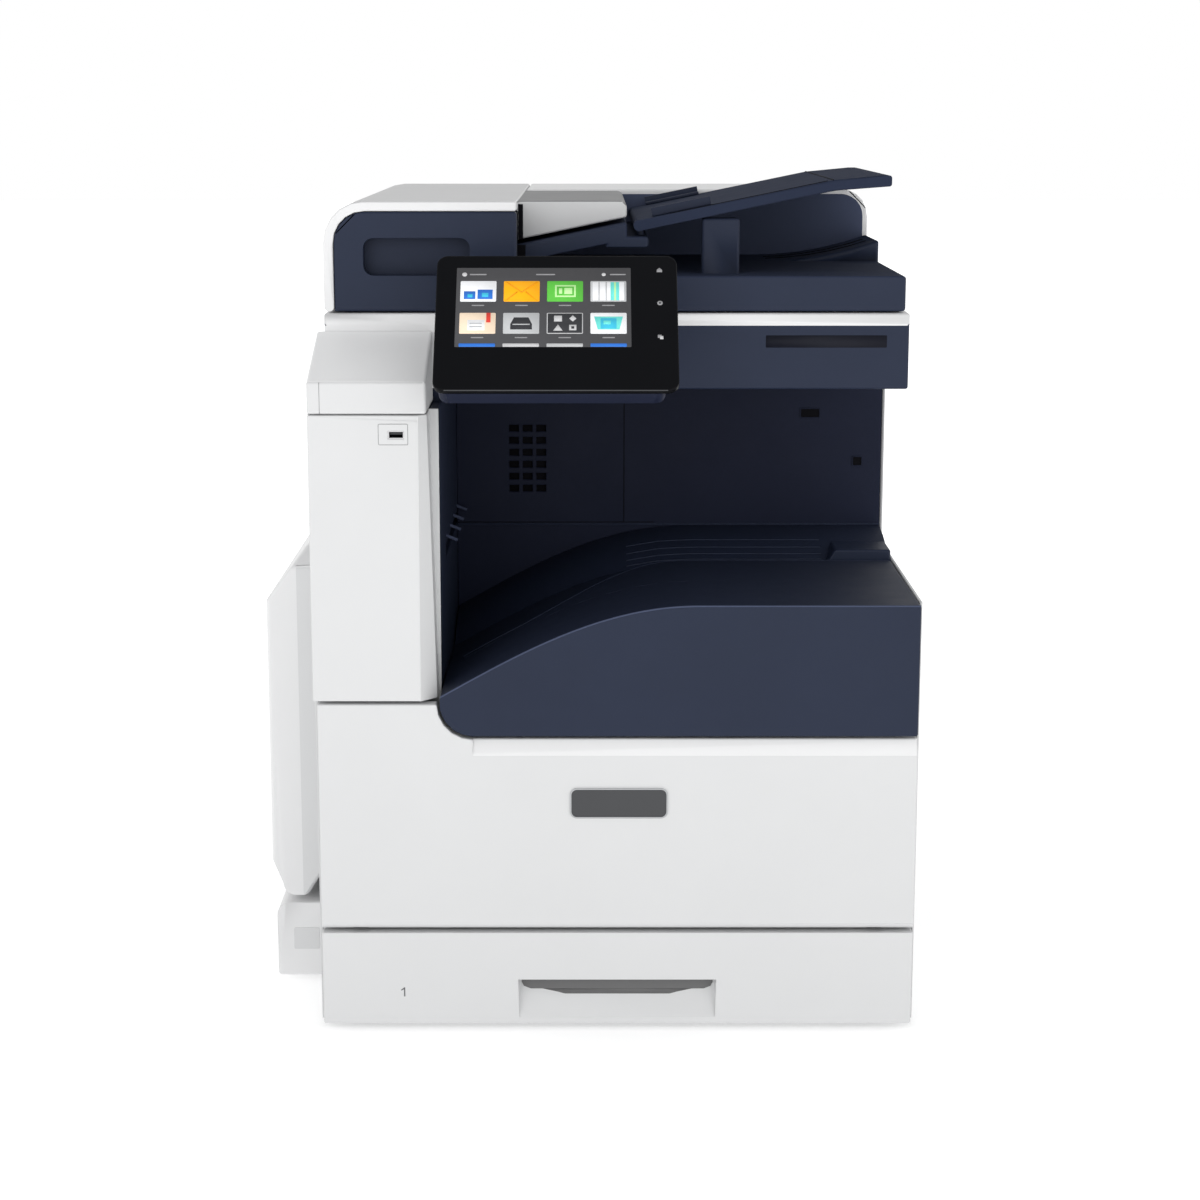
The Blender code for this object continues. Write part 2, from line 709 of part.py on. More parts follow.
def make_right_cover():
    top = SCANNER_BOTTOM - SEAT
    outline = [
        (BASE_FRONT, BASE_BOTTOM), (COVER_REAR, BASE_BOTTOM), (COVER_REAR, top),
        (BAY_BACK, top), (BAY_BACK, TRAY_HIGH), (BASE_FRONT, TRAY_HIGH),
    ]
    node("right_cover", prism("X", outline, RIGHT - COVER_WALL, RIGHT), "white_plastic")


def inlet_box(grow, front, rear):
    half = INLET_WIDTH / 2 + grow
    high = INLET_HEIGHT / 2 + grow
    return block((INLET_X - half, INLET_X + half), (front, rear), (INLET_Z - high, INLET_Z + high))


def make_rear_cover():
    low, high = BASE_BOTTOM, SCANNER_BOTTOM - SEAT
    shell = block((BODY_LEFT, RIGHT), (COVER_REAR + SEAT, REAR), (low, high))
    inside = block((BODY_LEFT + COVER_WALL, RIGHT - COVER_WALL),
                   (COVER_REAR - OVER, REAR - COVER_WALL), (low + COVER_WALL, high - COVER_WALL))
    hole = inlet_box(SEAT, REAR - COVER_WALL - OVER, REAR + OVER)
    node("rear_cover", cut(shell, inside, hole), "white_plastic")


def make_power_inlet():
    inner = REAR - COVER_WALL - SEAT
    body = inlet_box(0.0, inner - INLET_DEPTH, REAR)
    flange = inlet_box(INLET_FLANGE, inner - INLET_FLANGE_THICK, inner)
    socket = inlet_box(-COVER_WALL, REAR - INLET_DEPTH, REAR + OVER)
    node("power_inlet", cut(union(body, flange), socket), "dark_plastic")


def tower_outline(inset):
    right_low, right_high = WING_RIGHT - inset, WING_RIGHT - TOWER_FLARE - inset
    low, high = TOWER_BOTTOM + inset, TOWER_TOP - inset
    return [(BODY_LEFT + inset, low), (right_low, low), (right_high, high),
            (BODY_LEFT + inset, high)]


def make_tower_cover():
    back = PLATE_FRONT - SEAT
    shell = prism("Y", tower_outline(0.0), FRONT, back)
    inside = prism("Y", tower_outline(COVER_WALL), FRONT + COVER_WALL, back + OVER)
    right = WING_RIGHT - TOWER_FLARE - USB_INSET
    top = TOWER_TOP - USB_DROP
    port = block((right - USB_WIDTH, right), (FRONT - OVER, FRONT + COVER_WALL + OVER),
                 (top - USB_HEIGHT, top))
    node("tower_cover", cut(shell, inside, port), "white_plastic")


def make_tower_cap():
    back = SCANNER_FRONT - SEAT
    face_top = CAP_BOTTOM + CAP_FACE
    right = WING_RIGHT - TOWER_FLARE
    outline = [(FRONT, CAP_BOTTOM), (back, CAP_BOTTOM), (back, face_top + CAP_RISE),
               (FRONT, face_top)]
    wall = COVER_WALL
    hollow = [(FRONT + wall, CAP_BOTTOM - OVER), (back - wall, CAP_BOTTOM - OVER),
              (back - wall, face_top + CAP_RISE - 2 * wall), (FRONT + wall, face_top - wall)]
    shell = prism("X", outline, BODY_LEFT, right)
    inside = prism("X", hollow, BODY_LEFT + wall, right - wall)
    node("tower_cap", cut(shell, inside), "white_plastic")


# Output bay
def make_output_tray():
    deck = TRAY_SINK + TRAY_DECK
    rim = prism("Y", tray_line(0.0) + tray_line(deck)[::-1], FRONT, FRONT + TRAY_RIM)
    bed = prism("Y", tray_line(TRAY_SINK) + tray_line(deck)[::-1],
                FRONT + TRAY_RIM - OVER, BAY_BACK - SEAT)
    corner = [(TRAY_LEFT, tray_height(TRAY_LEFT), 0.0),
              (TRAY_LEFT, FASCIA_BOTTOM, WING_FILLET - DOOR_GAP), (FACE_RIGHT, FASCIA_BOTTOM, 0.0)]
    top = [(x, z, 0.0) for x, z in tray_line(0.0)[:0:-1]]
    fascia = prism("Y", rounded(corner + top), FRONT, FRONT + FASCIA_THICK)
    node("output_tray", union(rim, bed, fascia), "navy_plastic")


def make_bay_rear_wall():
    left = EXIT_RIGHT + SEAT
    wall = block((left, IN_RIGHT), (BAY_BACK, BAY_BACK + BAY_WALL),
                 (TRAY_HIGH - TRAY_FALL - TRAY_SINK - TRAY_DECK, SCANNER_BOTTOM - SEAT))
    slots = []
    for column in range(VENT_COLUMNS):
        for row in range(VENT_ROWS):
            x = left + VENT_INSET + column * VENT_PITCH
            z = SCANNER_BOTTOM - VENT_DROP - row * (VENT_HEIGHT + VENT_BAR)
            slots.append(block((x, x + VENT_WIDTH), (BAY_BACK - OVER, BAY_BACK + BAY_WALL + OVER),
                               (z - VENT_HEIGHT, z)))
    node("bay_rear_wall", cut(wall, *slots), "navy_plastic")


def make_exit_housing():
    outline = under_cap(ENGINE_FRONT + SEAT, ENGINE_REAR - SEAT,
                        TRAY_HIGH - TRAY_FALL - TRAY_SINK - TRAY_DECK)
    wall = prism("X", outline, EXIT_RIGHT - EXIT_WALL, EXIT_RIGHT)
    slot = block((EXIT_RIGHT - EXIT_WALL - OVER, EXIT_RIGHT + OVER),
                 (PAPER_Y - PAPER_WIDTH / 2 - OVER, PAPER_Y + PAPER_WIDTH / 2 + OVER),
                 (EXIT_Z - EXIT_SLOT / 2, EXIT_Z + EXIT_SLOT / 2))
    node("exit_housing", cut(wall, slot), "navy_plastic")


# Front door
def make_front_door():
    centre = FRONT_HINGE.pivot
    radius = DOOR_THICK / 2
    back = FRONT + DOOR_THICK
    profile = arc(centre, radius, 180.0, 360.0, 2 * CORNER_STEPS)
    slab = prism("X", profile + [(back, WING_TOP), (FRONT, WING_TOP)], FACE_LEFT, FACE_RIGHT)
    far, above = FACE_RIGHT + OVER, WING_TOP + OVER
    notch = rounded([(WING_RIGHT, above, 0.0), (WING_RIGHT, DOOR_TOP, WING_FILLET),
                     (far, DOOR_TOP, 0.0), (far, above, 0.0)])
    corner = prism("Y", notch, FRONT - OVER, back + OVER)
    slope = DOOR_CHAMFER_HEIGHT / DOOR_CHAMFER_DEPTH
    wedge = [(FRONT - OVER, DOOR_TOP - DOOR_CHAMFER_HEIGHT - OVER * slope),
             (FRONT + DOOR_CHAMFER_DEPTH + OVER, DOOR_TOP + OVER * slope),
             (FRONT - OVER, DOOR_TOP + OVER * slope)]
    chamfer = prism("X", wedge, WING_RIGHT + WING_FILLET, far)
    door = FRONT_HINGE.leaf(cut(slab, corner, chamfer), DOOR_THICK, DOOR_THICK)
    node("front_door", door, "white_plastic", (0.0, *centre))


# Paper drawer
BOX_LEFT = CAVITY_LEFT + DRAWER_SIDE_GAP
BOX_RIGHT = CAVITY_RIGHT - DRAWER_SIDE_GAP
BOX_REAR = COVER_REAR - BASE_WALL - DRAWER_REAR_SPACE
BOX_BOTTOM = CAVITY_FLOOR + RAIL_SIDE_GAP
PAPER_FLOOR = BOX_BOTTOM + DRAWER_WALL
PAPER_Y = (DRAWER_FRONT + BOX_REAR) / 2
PAPER_LEFT = BOX_LEFT + DRAWER_WALL + LIFT_PLATE_GAP / 2
LIFT_LEFT = BOX_LEFT + DRAWER_WALL + LIFT_PLATE_GAP
LIFT_AXIS = (LIFT_LEFT + LIFT_PLATE_LENGTH, PAPER_FLOOR + LIFT_BARREL_RADIUS + RUN)
LIFT_HALF = PAPER_WIDTH / 2 - LIFT_PLATE_GAP
GUIDE_X = LIFT_LEFT + LIFT_PLATE_LENGTH / 2
GUIDE_BASE = PAPER_FLOOR + SEAT


def make_drawer_box():
    tub = block((BOX_LEFT, BOX_RIGHT), (DRAWER_FRONT, BOX_REAR),
                (BOX_BOTTOM, BOX_BOTTOM + DRAWER_HEIGHT))
    inside = block((BOX_LEFT + DRAWER_WALL, BOX_RIGHT - DRAWER_WALL),
                   (DRAWER_FRONT + DRAWER_WALL, BOX_REAR - DRAWER_WALL),
                   (PAPER_FLOOR, BOX_BOTTOM + DRAWER_HEIGHT + OVER))
    runner = RAIL_Z + RAIL_HEIGHT + SEAT
    reach = DRAWER_SIDE_GAP - RAIL_SIDE_GAP
    extras = []
    for near, far in ((BOX_LEFT - reach, BOX_LEFT + DRAWER_WALL / 2),
                      (BOX_RIGHT - DRAWER_WALL / 2, BOX_RIGHT + reach)):
        extras.append(block((near, far), (BASE_FRONT + DOOR_GAP, BOX_REAR),
                            (runner, runner + RAIL_HEIGHT)))
    x, z = LIFT_AXIS
    half = LIFT_BARREL_RADIUS + RUN
    for near in (PAPER_Y - LIFT_HALF / 2 - LIFT_EAR_WALL, PAPER_Y + LIFT_HALF / 2):
        ear = block((x - half, x + half), (near, near + LIFT_EAR_WALL),
                    (PAPER_FLOOR - DRAWER_WALL / 2, z + half))
        hole = rod("Y", LIFT_AXIS, PIN_RADIUS + SEAT, near - OVER, near + LIFT_EAR_WALL + OVER)
        extras.append(cut(ear, hole))
    node("drawer_box", union(cut(tub, inside), *extras), "dark_plastic")


def make_drawer_front():
    face = block((FACE_LEFT, FACE_RIGHT), (FRONT, FRONT + DOOR_THICK), (DRAWER_LIFT, DRAWER_TOP))
    middle = (FACE_LEFT + FACE_RIGHT) / 2
    low, high = DRAWER_LIFT + HANDLE_LOW, DRAWER_LIFT + HANDLE_HIGH
    deep = FRONT + HANDLE_DEPTH
    lip = FRONT + HANDLE_LIP
    scoop = [(FRONT - OVER, low), (FRONT, low), (deep, low + HANDLE_RAMP), (deep, high + HANDLE_LIP),
             (lip, high + HANDLE_LIP), (lip, high), (FRONT - OVER, high)]
    half = HANDLE_WIDTH / 2
    handle = prism("X", scoop, middle - half, middle + half)
    node("drawer_front", cut(face, handle), "white_plastic")


def make_lift_plate():
    x, z = LIFT_AXIS
    notch = GUIDE_LENGTH / 2 + OVER
    deep = GUIDE_SPAN_LEAST / 2 - OVER
    side = [(LIFT_LEFT, LIFT_HALF), (GUIDE_X - notch, LIFT_HALF), (GUIDE_X - notch, deep),
            (GUIDE_X + notch, deep), (GUIDE_X + notch, LIFT_HALF),
            (x - LIFT_BARREL_RADIUS - OVER, LIFT_HALF),
            (x - LIFT_BARREL_RADIUS - OVER, LIFT_HALF / 2 - RUN), (x, LIFT_HALF / 2 - RUN)]
    outline = [(across, PAPER_Y + along) for across, along in side]
    outline += [(across, PAPER_Y - along) for across, along in reversed(side)]
    plate = prism("Z", outline, z - LIFT_PLATE_THICK / 2, z + LIFT_PLATE_THICK / 2)
    inner = LIFT_HALF / 2 - RUN
    outer = LIFT_HALF / 2 + LIFT_EAR_WALL
    profile = [(PIN_RADIUS, PAPER_Y - outer), (PIN_RADIUS, PAPER_Y - inner),
               (LIFT_BARREL_RADIUS, PAPER_Y - inner), (LIFT_BARREL_RADIUS, PAPER_Y + inner),
               (PIN_RADIUS, PAPER_Y + inner), (PIN_RADIUS, PAPER_Y + outer)]
    barrel = turned("Y", LIFT_AXIS, profile)
    node("lift_plate", union(barrel, plate), "sheet_steel", (x, PAPER_Y, z))


def make_paper_guides():
    half = GUIDE_LENGTH / 2
    top = GUIDE_BASE + GUIDE_HEIGHT
    for name, way in (("side_guide_front", -1.0), ("side_guide_rear", 1.0)):
        inner = PAPER_WIDTH / 2
        outline = [(inner, GUIDE_BASE), (inner + GUIDE_FOOT, GUIDE_BASE),
                   (inner + GUIDE_FOOT, GUIDE_BASE + GUIDE_WALL),
                   (inner + GUIDE_WALL, GUIDE_BASE + GUIDE_WALL), (inner + GUIDE_WALL, top),
                   (inner, top)]
        outline = [(PAPER_Y + way * across, up) for across, up in outline]
        guide = prism("X", outline, GUIDE_X - half, GUIDE_X + half)
        node(name, guide, "dark_plastic", (GUIDE_X, PAPER_Y + way * inner, GUIDE_BASE))
    x = PAPER_LEFT + PAPER_LENGTH
    outline = [(x, GUIDE_BASE), (x + GUIDE_FOOT, GUIDE_BASE), (x + GUIDE_FOOT, GUIDE_BASE + GUIDE_WALL),
               (x + GUIDE_WALL, GUIDE_BASE + GUIDE_WALL), (x + GUIDE_WALL, top), (x, top)]
    guide = prism("Y", outline, PAPER_Y - half, PAPER_Y + half)
    node("end_guide", guide, "dark_plastic", (x, PAPER_Y, GUIDE_BASE))


# Side door, bypass tray and the fixed cover under them
BYPASS_LOW = SIDE_DOOR_LIFT + BYPASS_LIFT
BYPASS_AXIS = (LEFT + BYPASS_THICK / 2, BYPASS_LOW + BYPASS_THICK / 2)
BYPASS_FRONT = SIDE_FRONT + BYPASS_INSET
BYPASS_REAR = SIDE_REAR - BYPASS_INSET
BYPASS_HINGE = ClipHinge("Y", BYPASS_AXIS, (0, 1), (-1, 0),
                         (BYPASS_FRONT + CLIP_INSET, BYPASS_REAR - CLIP_INSET),
                         BYPASS_THICK / 2 + RUN + COVER_WALL)


def make_side_door():
    inner = BODY_LEFT - DOOR_GAP / 2
    radius = SIDE_HINGE_RADIUS
    outline = arc(SIDE_AXIS, radius, 180.0, 270.0, CORNER_STEPS)
    outline += [
        (SIDE_AXIS[0] + radius, SIDE_DOOR_LIFT), (inner, SIDE_DOOR_LIFT + SIDE_STEP_HEIGHT),
        (inner, SIDE_TOP), (LEFT + SIDE_CHAMFER_WIDTH, SIDE_TOP), (LEFT, SIDE_TOP - SIDE_CHAMFER),
        (LEFT, SIDE_DOOR_LIFT + SIDE_STEP_HEIGHT),
    ]
    body = prism("Y", outline, SIDE_FRONT, SIDE_REAR)
    recess = block((LEFT - OVER, LEFT + BYPASS_THICK + RUN), (BYPASS_FRONT, BYPASS_REAR),
                   (BYPASS_LOW - RUN, BYPASS_LOW + BYPASS_HEIGHT))
    body = SIDE_HINGE.leaf(cut(body, recess), radius + OVER, SIDE_BULGE)
    node("side_door", union(body, *BYPASS_HINGE.ears()), "white_plastic",
         (SIDE_AXIS[0], 0.0, SIDE_AXIS[1]))


def make_bypass_tray():
    radius = BYPASS_THICK / 2
    outline = arc(BYPASS_AXIS, radius, 180.0, 360.0, 2 * CORNER_STEPS)
    top = BYPASS_LOW + BYPASS_HEIGHT - DOOR_GAP
    outline += [(LEFT + BYPASS_THICK, top), (LEFT, top)]
    slab = prism("Y", outline, BYPASS_FRONT + RUN, BYPASS_REAR - RUN)
    tray = BYPASS_HINGE.leaf(slab, BYPASS_THICK, BYPASS_THICK)
    node("bypass_tray", tray, "white_plastic", (BYPASS_AXIS[0], 0.0, BYPASS_AXIS[1]))


def make_lower_side_cover():
    outer, inner = LEFT + LOWER_COVER_INSET, BODY_LEFT - SEAT
    low, high = DRAWER_LIFT, DRAWER_LIFT + LOWER_COVER_HEIGHT
    outline = rounded([(outer, low, 0.0), (inner, low, 0.0), (inner, high, 0.0),
                       (outer, high, LOWER_COVER_ROUND)])
    node("lower_side_cover", prism("Y", outline, SIDE_FRONT, SIDE_REAR), "white_plastic")


# Print engine
def make_roller(name, place, radius, front, rear, finish_name):
    """A roller on a shaft that runs through both frame plates."""
    profile = [(SHAFT_RADIUS, PLATE_FRONT - SHAFT_STUB), (SHAFT_RADIUS, front), (radius, front),
               (radius, rear), (SHAFT_RADIUS, rear), (SHAFT_RADIUS, PLATE_REAR + SHAFT_STUB)]
    node(name, turned("Y", place, profile), finish_name, (place[0], 0.0, place[1]))


def belt_outline(radius):
    left = arc((BELT_LEFT, BELT_Z), radius, 90.0, 270.0, ROUND_SIDES // 2)
    right = arc((BELT_RIGHT, BELT_Z), radius, -90.0, 90.0, ROUND_SIDES // 2)
    return left + right


def make_print_engine():
    front, rear = ENGINE_FRONT + ROLLER_END_GAP, ENGINE_REAR - ROLLER_END_GAP
    belt_front, belt_rear = ENGINE_FRONT + BELT_EDGE, ENGINE_REAR - BELT_EDGE
    inner = BELT_ROLLER_RADIUS + RUN
    loop = prism("Y", belt_outline(inner + BELT_THICK), belt_front, belt_rear)
    hollow = prism("Y", belt_outline(inner), belt_front - OVER, belt_rear + OVER)
    node("transfer_belt", cut(loop, hollow), "belt_film")
    make_roller("belt_drive_roller", (BELT_LEFT, BELT_Z), BELT_ROLLER_RADIUS, front, rear, "rubber")
    make_roller("belt_tension_roller", (BELT_RIGHT, BELT_Z), BELT_ROLLER_RADIUS, front, rear,
                "shaft_steel")
    for x, colour in zip(DRUM_X, ("black", "cyan", "magenta", "yellow")):
        make_roller(f"drum_{colour}", (x, DRUM_Z), DRUM_RADIUS, front, rear, "drum_green")
        bottle = prism("Y", toner_outline(x, 0.0), PLATE_FRONT - TONER_NOSE, ENGINE_REAR - SEAT)
        node(f"toner_cartridge_{colour}", bottle, f"toner_{colour}")
    laser = block((DRUM_X[0] - LASER_MARGIN, DRUM_X[-1] + LASER_MARGIN),
                  (-LASER_DEPTH / 2, LASER_DEPTH / 2), (BASE_TOP + SEAT, BASE_TOP + LASER_HEIGHT))
    node("laser_unit", laser, "dark_plastic")
    make_roller("fuser_roller", (FUSER_X, FUSER_Z), FUSER_RADIUS, front, rear, "shaft_steel")
    make_roller("pressure_roller", (PRESS_X, FUSER_Z), FUSER_RADIUS, front, rear, "rubber")
    make_roller("registration_roller", (PRESS_X, REGISTRATION_Z), REGISTRATION_RADIUS, front, rear,
                "rubber")
    make_roller("exit_roller", (EXIT_X, EXIT_Z), EXIT_ROLLER_RADIUS, front, rear, "rubber")
    half = PICKUP_LENGTH / 2
    make_roller("pickup_roller", (PICKUP_X, PICKUP_Z), PICKUP_RADIUS, -half, half, "rubber")


def make_power_switch():
    y, z = SWITCH_HINGE.pivot
    half = SWITCH_THICK / 2
    tall = SWITCH_HEIGHT / 2
    outline = [(y + half, z - tall), (y + half, z + tall), (y - half / 2, z + tall), (y - half, z),
               (y - half, z - tall)]
    rocker = prism("X", outline, SWITCH_X - SWITCH_WIDTH / 2, SWITCH_X + SWITCH_WIDTH / 2)
    rocker = SWITCH_HINGE.leaf(rocker, POCKET_RISE, SWITCH_THICK)
    node("power_switch", rocker, "dark_plastic", (SWITCH_X, y, z))


def make_control_board():
    right = IN_RIGHT - BOARD_INSET
    left = right - BOARD_WIDTH
    low = BASE_TOP + BOARD_LIFT
    high = low + BOARD_HEIGHT
    front = PLATE_REAR + BOARD_STANDOFF
    board = block((left, right), (front, front + BOARD_THICK), (low, high))
    posts = []
    for x in (left + BOARD_POST, right - BOARD_POST):
        for z in (low + BOARD_POST, high - BOARD_POST):
            posts.append(rod("Y", (x, z), BOARD_POST / 2, PLATE_REAR + SEAT, front + BOARD_THICK / 2,
                             BOARD_POST_SIDES))
    node("control_board", union(board, *posts), "board_green")


# Scanner
INNER_LEFT = SCANNER_LEFT + SCANNER_WALL
INNER_RIGHT = SCANNER_RIGHT - SCANNER_WALL
SCAN_FLOOR = SCANNER_BOTTOM + SCANNER_FLOOR
GLASS_LEFT = SCANNER_LEFT + GLASS_INSET
GLASS_FRONT = SCANNER_FRONT + GLASS_SETBACK
GLASS_X = (GLASS_LEFT, GLASS_LEFT + GLASS_LENGTH)
GLASS_Y = (GLASS_FRONT, GLASS_FRONT + GLASS_WIDTH)
GLASS_BOTTOM = SCANNER_TOP - GLASS_THICK - SEAT
ROD_PLACE = (GLASS_FRONT + ROD_SETBACK, SCAN_FLOOR + ROD_LIFT)


def grown(span, amount):
    return (span[0] - amount, span[1] + amount)


def make_scanner():
    shell = block((SCANNER_LEFT, SCANNER_RIGHT), (SCANNER_FRONT, SCANNER_REAR),
                  (SCANNER_BOTTOM, SCANNER_TOP))
    inside = block((INNER_LEFT, INNER_RIGHT),
                   (SCANNER_FRONT + SCANNER_WALL, SCANNER_REAR - SCANNER_WALL),
                   (SCAN_FLOOR, SCANNER_TOP - SCANNER_ROOF))
    window = block(grown(GLASS_X, -GLASS_LEDGE), grown(GLASS_Y, -GLASS_LEDGE),
                   (SCANNER_TOP - SCANNER_ROOF - OVER, SCANNER_TOP + OVER))
    rebate = block(grown(GLASS_X, RUN), grown(GLASS_Y, RUN), (GLASS_BOTTOM - SEAT, SCANNER_TOP + OVER))
    seat = SCANNER_WALL / 2
    bore = rod("X", ROD_PLACE, ROD_RADIUS + SEAT, INNER_LEFT - seat, INNER_RIGHT + seat)
    node("scanner_body", cut(shell, inside, window, rebate, bore), "navy_plastic")
    node("platen_glass", block(GLASS_X, GLASS_Y, (GLASS_BOTTOM, GLASS_BOTTOM + GLASS_THICK)), "glass")
    bar = rod("X", ROD_PLACE, ROD_RADIUS, INNER_LEFT - seat + SEAT, INNER_RIGHT + seat - SEAT)
    node("carriage_rod", bar, "shaft_steel")
    left = INNER_LEFT + CARRIAGE_START
    middle = (GLASS_Y[0] + GLASS_Y[1]) / 2
    low = ROD_PLACE[1] - CARRIAGE_DROP
    carriage = block((left, left + CARRIAGE_WIDTH),
                     (middle - CARRIAGE_LENGTH / 2, middle + CARRIAGE_LENGTH / 2),
                     (low, low + CARRIAGE_HEIGHT))
    sleeve = rod("X", ROD_PLACE, ROD_RADIUS + RUN, left - OVER, left + CARRIAGE_WIDTH + OVER)
    node("scan_carriage", cut(carriage, sleeve), "dark_plastic", (left, *ROD_PLACE))


# Lid with the document feeder
SHELL_INNER = LID_LEFT + FEEDER_SHELL + RUN
ROOF_INNER = FEEDER_TOP - FEEDER_ROOF - RUN
FEEDER_AXIS = (LID_LEFT + FEEDER_SHELL / 2, LID_BOTTOM + FEEDER_SHELL / 2)
FEEDER_HINGE = ClipHinge("Y", FEEDER_AXIS, (0, 1), (-1, 0),
                         (SCANNER_FRONT + CLIP_INSET, LID_REAR - CLIP_INSET),
                         FEEDER_SHELL / 2 + RUN + COVER_WALL)
LID_AXIS = (LID_REAR - LID_HINGE_RADIUS, LID_BOTTOM + LID_HINGE_RADIUS)
LID_HINGE_X = (LID_LEFT + LID_HINGE_INSET, LID_RIGHT - LID_HINGE_INSET)
HINGE_TOP = SCANNER_TOP + SEAT + HINGE_BRACKET_FOOT
LID_HINGE = ClipHinge("X", LID_AXIS, (-1, 0), (0, 1), LID_HINGE_X,
                      LID_AXIS[1] - HINGE_TOP + HINGE_BRACKET_FOOT / 2)
TRAY_AXIS_X = FEEDER_RIGHT + TABLE_LENGTH


def table_height(x):
    """Height of the line that documents slide on."""
    return LID_BOTTOM + TABLE_TOP + TABLE_SLOPE * (x - FEEDER_RIGHT)


TRAY_UP = Vector((1.0, TABLE_SLOPE)).normalized()
TRAY_OUT = Vector((-TRAY_UP.y, TRAY_UP.x))
TRAY_AXIS = Vector((TRAY_AXIS_X, table_height(TRAY_AXIS_X))) - TRAY_OUT * (DOC_TRAY_THICK / 2)
TRAY_HINGE = ClipHinge("Y", TRAY_AXIS, TRAY_UP, TRAY_OUT,
                       (TRAY_FRONT + CLIP_INSET, TRAY_BACK - CLIP_INSET),
                       DOC_TRAY_THICK + COVER_WALL)
FEED_X = FEEDER_RIGHT - FEED_ROLLER_INSET
FEED_Z = table_height(FEED_X) + FEED_ROLLER_RADIUS + RUN
FEED_SPAN = (SCANNER_FRONT + FEEDER_FRONT_WALL, BLOCK_FRONT)
PAD_BOTTOM = SCANNER_TOP + SEAM


def make_lid_base():
    plate = prism("X", rounded([(SCANNER_FRONT, LID_BOTTOM, 0.0),
                                (LID_REAR, LID_BOTTOM, LID_HINGE_RADIUS),
                                (LID_REAR, LID_DECK, 0.0), (SCANNER_FRONT, LID_DECK, 0.0)]),
                  SHELL_INNER, LID_RIGHT)
    inner_round = FEEDER_ROUND - FEEDER_SHELL
    low = LID_DECK - OVER
    cheek = rounded([(SHELL_INNER, low, 0.0), (FEEDER_RIGHT, low, 0.0),
                     (FEEDER_RIGHT, ROOF_INNER, 0.0), (SHELL_INNER, ROOF_INNER, inner_round)])
    front_wall = prism("Y", cheek, SCANNER_FRONT, FEED_SPAN[0])
    rear_wall = prism("Y", cheek, BLOCK_FRONT, LID_REAR)
    start = FEEDER_RIGHT + SEAM
    tall = rounded([(start, low, 0.0), (LID_RIGHT, low, 0.0),
                    (LID_RIGHT, FEEDER_TOP, REAR_BLOCK_ROUND), (start, FEEDER_TOP, 0.0)])
    rear_block = prism("Y", tall, BLOCK_FRONT, LID_REAR)
    table_left = FEED_X - FEED_ROLLER_RADIUS
    table_right = TRAY_AXIS_X - DOC_TRAY_THICK
    slab = [(table_left, table_height(table_left)), (table_left, table_height(table_left) - TABLE_SLAB),
            (table_right, table_height(table_right) - TABLE_SLAB),
            (table_right, table_height(table_right))]
    table = prism("Y", slab, TRAY_FRONT, BLOCK_FRONT + OVER)
    tongue_top = TRAY_AXIS.y - DOC_TRAY_THICK
    tongue = block((table_right - 2 * DOC_TRAY_THICK, TRAY_AXIS_X + DOC_TRAY_THICK),
                   (TRAY_FRONT, BLOCK_FRONT + OVER), (tongue_top - DOC_TRAY_THICK, tongue_top))
    post_left = TRAY_AXIS_X + POST_OFFSET
    under = table_height(post_left) - DOC_TRAY_THICK / TRAY_UP.x - SEAT
    post = block((post_left, post_left + POST_WIDTH), (TRAY_FRONT + OVER, TRAY_FRONT + POST_DEPTH),
                 (low, under))
    lip_line = []
    for step in range(CORNER_STEPS + 1):
        share = step / CORNER_STEPS
        lip_line.append((LID_RIGHT - LIP_LENGTH * (1 - share), LID_DECK + LIP_HEIGHT * share * share))
    lip = prism("Y", [(LID_RIGHT - LIP_LENGTH, low)] + lip_line + [(LID_RIGHT, low)],
                BLOCK_FRONT - LIP_DEPTH, BLOCK_FRONT + OVER)
    body = union(plate, front_wall, rear_wall, rear_block, table, tongue, post, lip)
    pad_recess = block(grown(GLASS_X, PAD_MARGIN + RUN), grown(GLASS_Y, PAD_MARGIN + RUN),
                       (LID_BOTTOM - OVER, PAD_BOTTOM + PAD_THICK + SEAT))
    handle_left = LID_LEFT + FEEDER_HANDLE_INSET
    handle_low = LID_BOTTOM + FEEDER_HANDLE_LIFT
    handle = block((handle_left, handle_left + FEEDER_HANDLE_WIDTH),
                   (SCANNER_FRONT - OVER, SCANNER_FRONT + FEEDER_HANDLE_DEPTH),
                   (handle_low, handle_low + FEEDER_HANDLE_HEIGHT))
    bearing = rod("Y", (FEED_X, FEED_Z), FEED_SHAFT + SEAT, FEED_SPAN[0] - FEED_SEAT,
                  FEED_SPAN[1] + FEED_SEAT)
    body = LID_HINGE.leaf(cut(body, pad_recess, handle, bearing), LID_HINGE_RADIUS + OVER,
                          LID_HINGE_RADIUS + OVER)
    body = union(body, *FEEDER_HINGE.ears(), *TRAY_HINGE.ears())
    node("lid_base", body, "navy_plastic", (0.0, *LID_AXIS))
    pad = block(grown(GLASS_X, PAD_MARGIN), grown(GLASS_Y, PAD_MARGIN),
                (PAD_BOTTOM, PAD_BOTTOM + PAD_THICK))
    node("platen_pad", pad, "white_foam")


def make_lid_hinges():
    for name, x, ear in zip(("lid_hinge_left", "lid_hinge_right"), LID_HINGE_X, LID_HINGE.ears()):
        front = LID_AXIS[0] - EAR_RADIUS
        rear = SCANNER_REAR + SEAT
        half, wide = EAR_WIDTH / 2, HINGE_BRACKET_WIDTH / 2
        foot = block((x - half, x + half), (front, rear + OVER), (SCANNER_TOP + SEAT, HINGE_TOP))
        leg = block((x - wide, x + wide), (rear, rear + HINGE_BRACKET_THICK),
                    (SCANNER_TOP - HINGE_BRACKET_DROP, HINGE_TOP))
        node(name, union(leg, foot, ear), "sheet_steel")


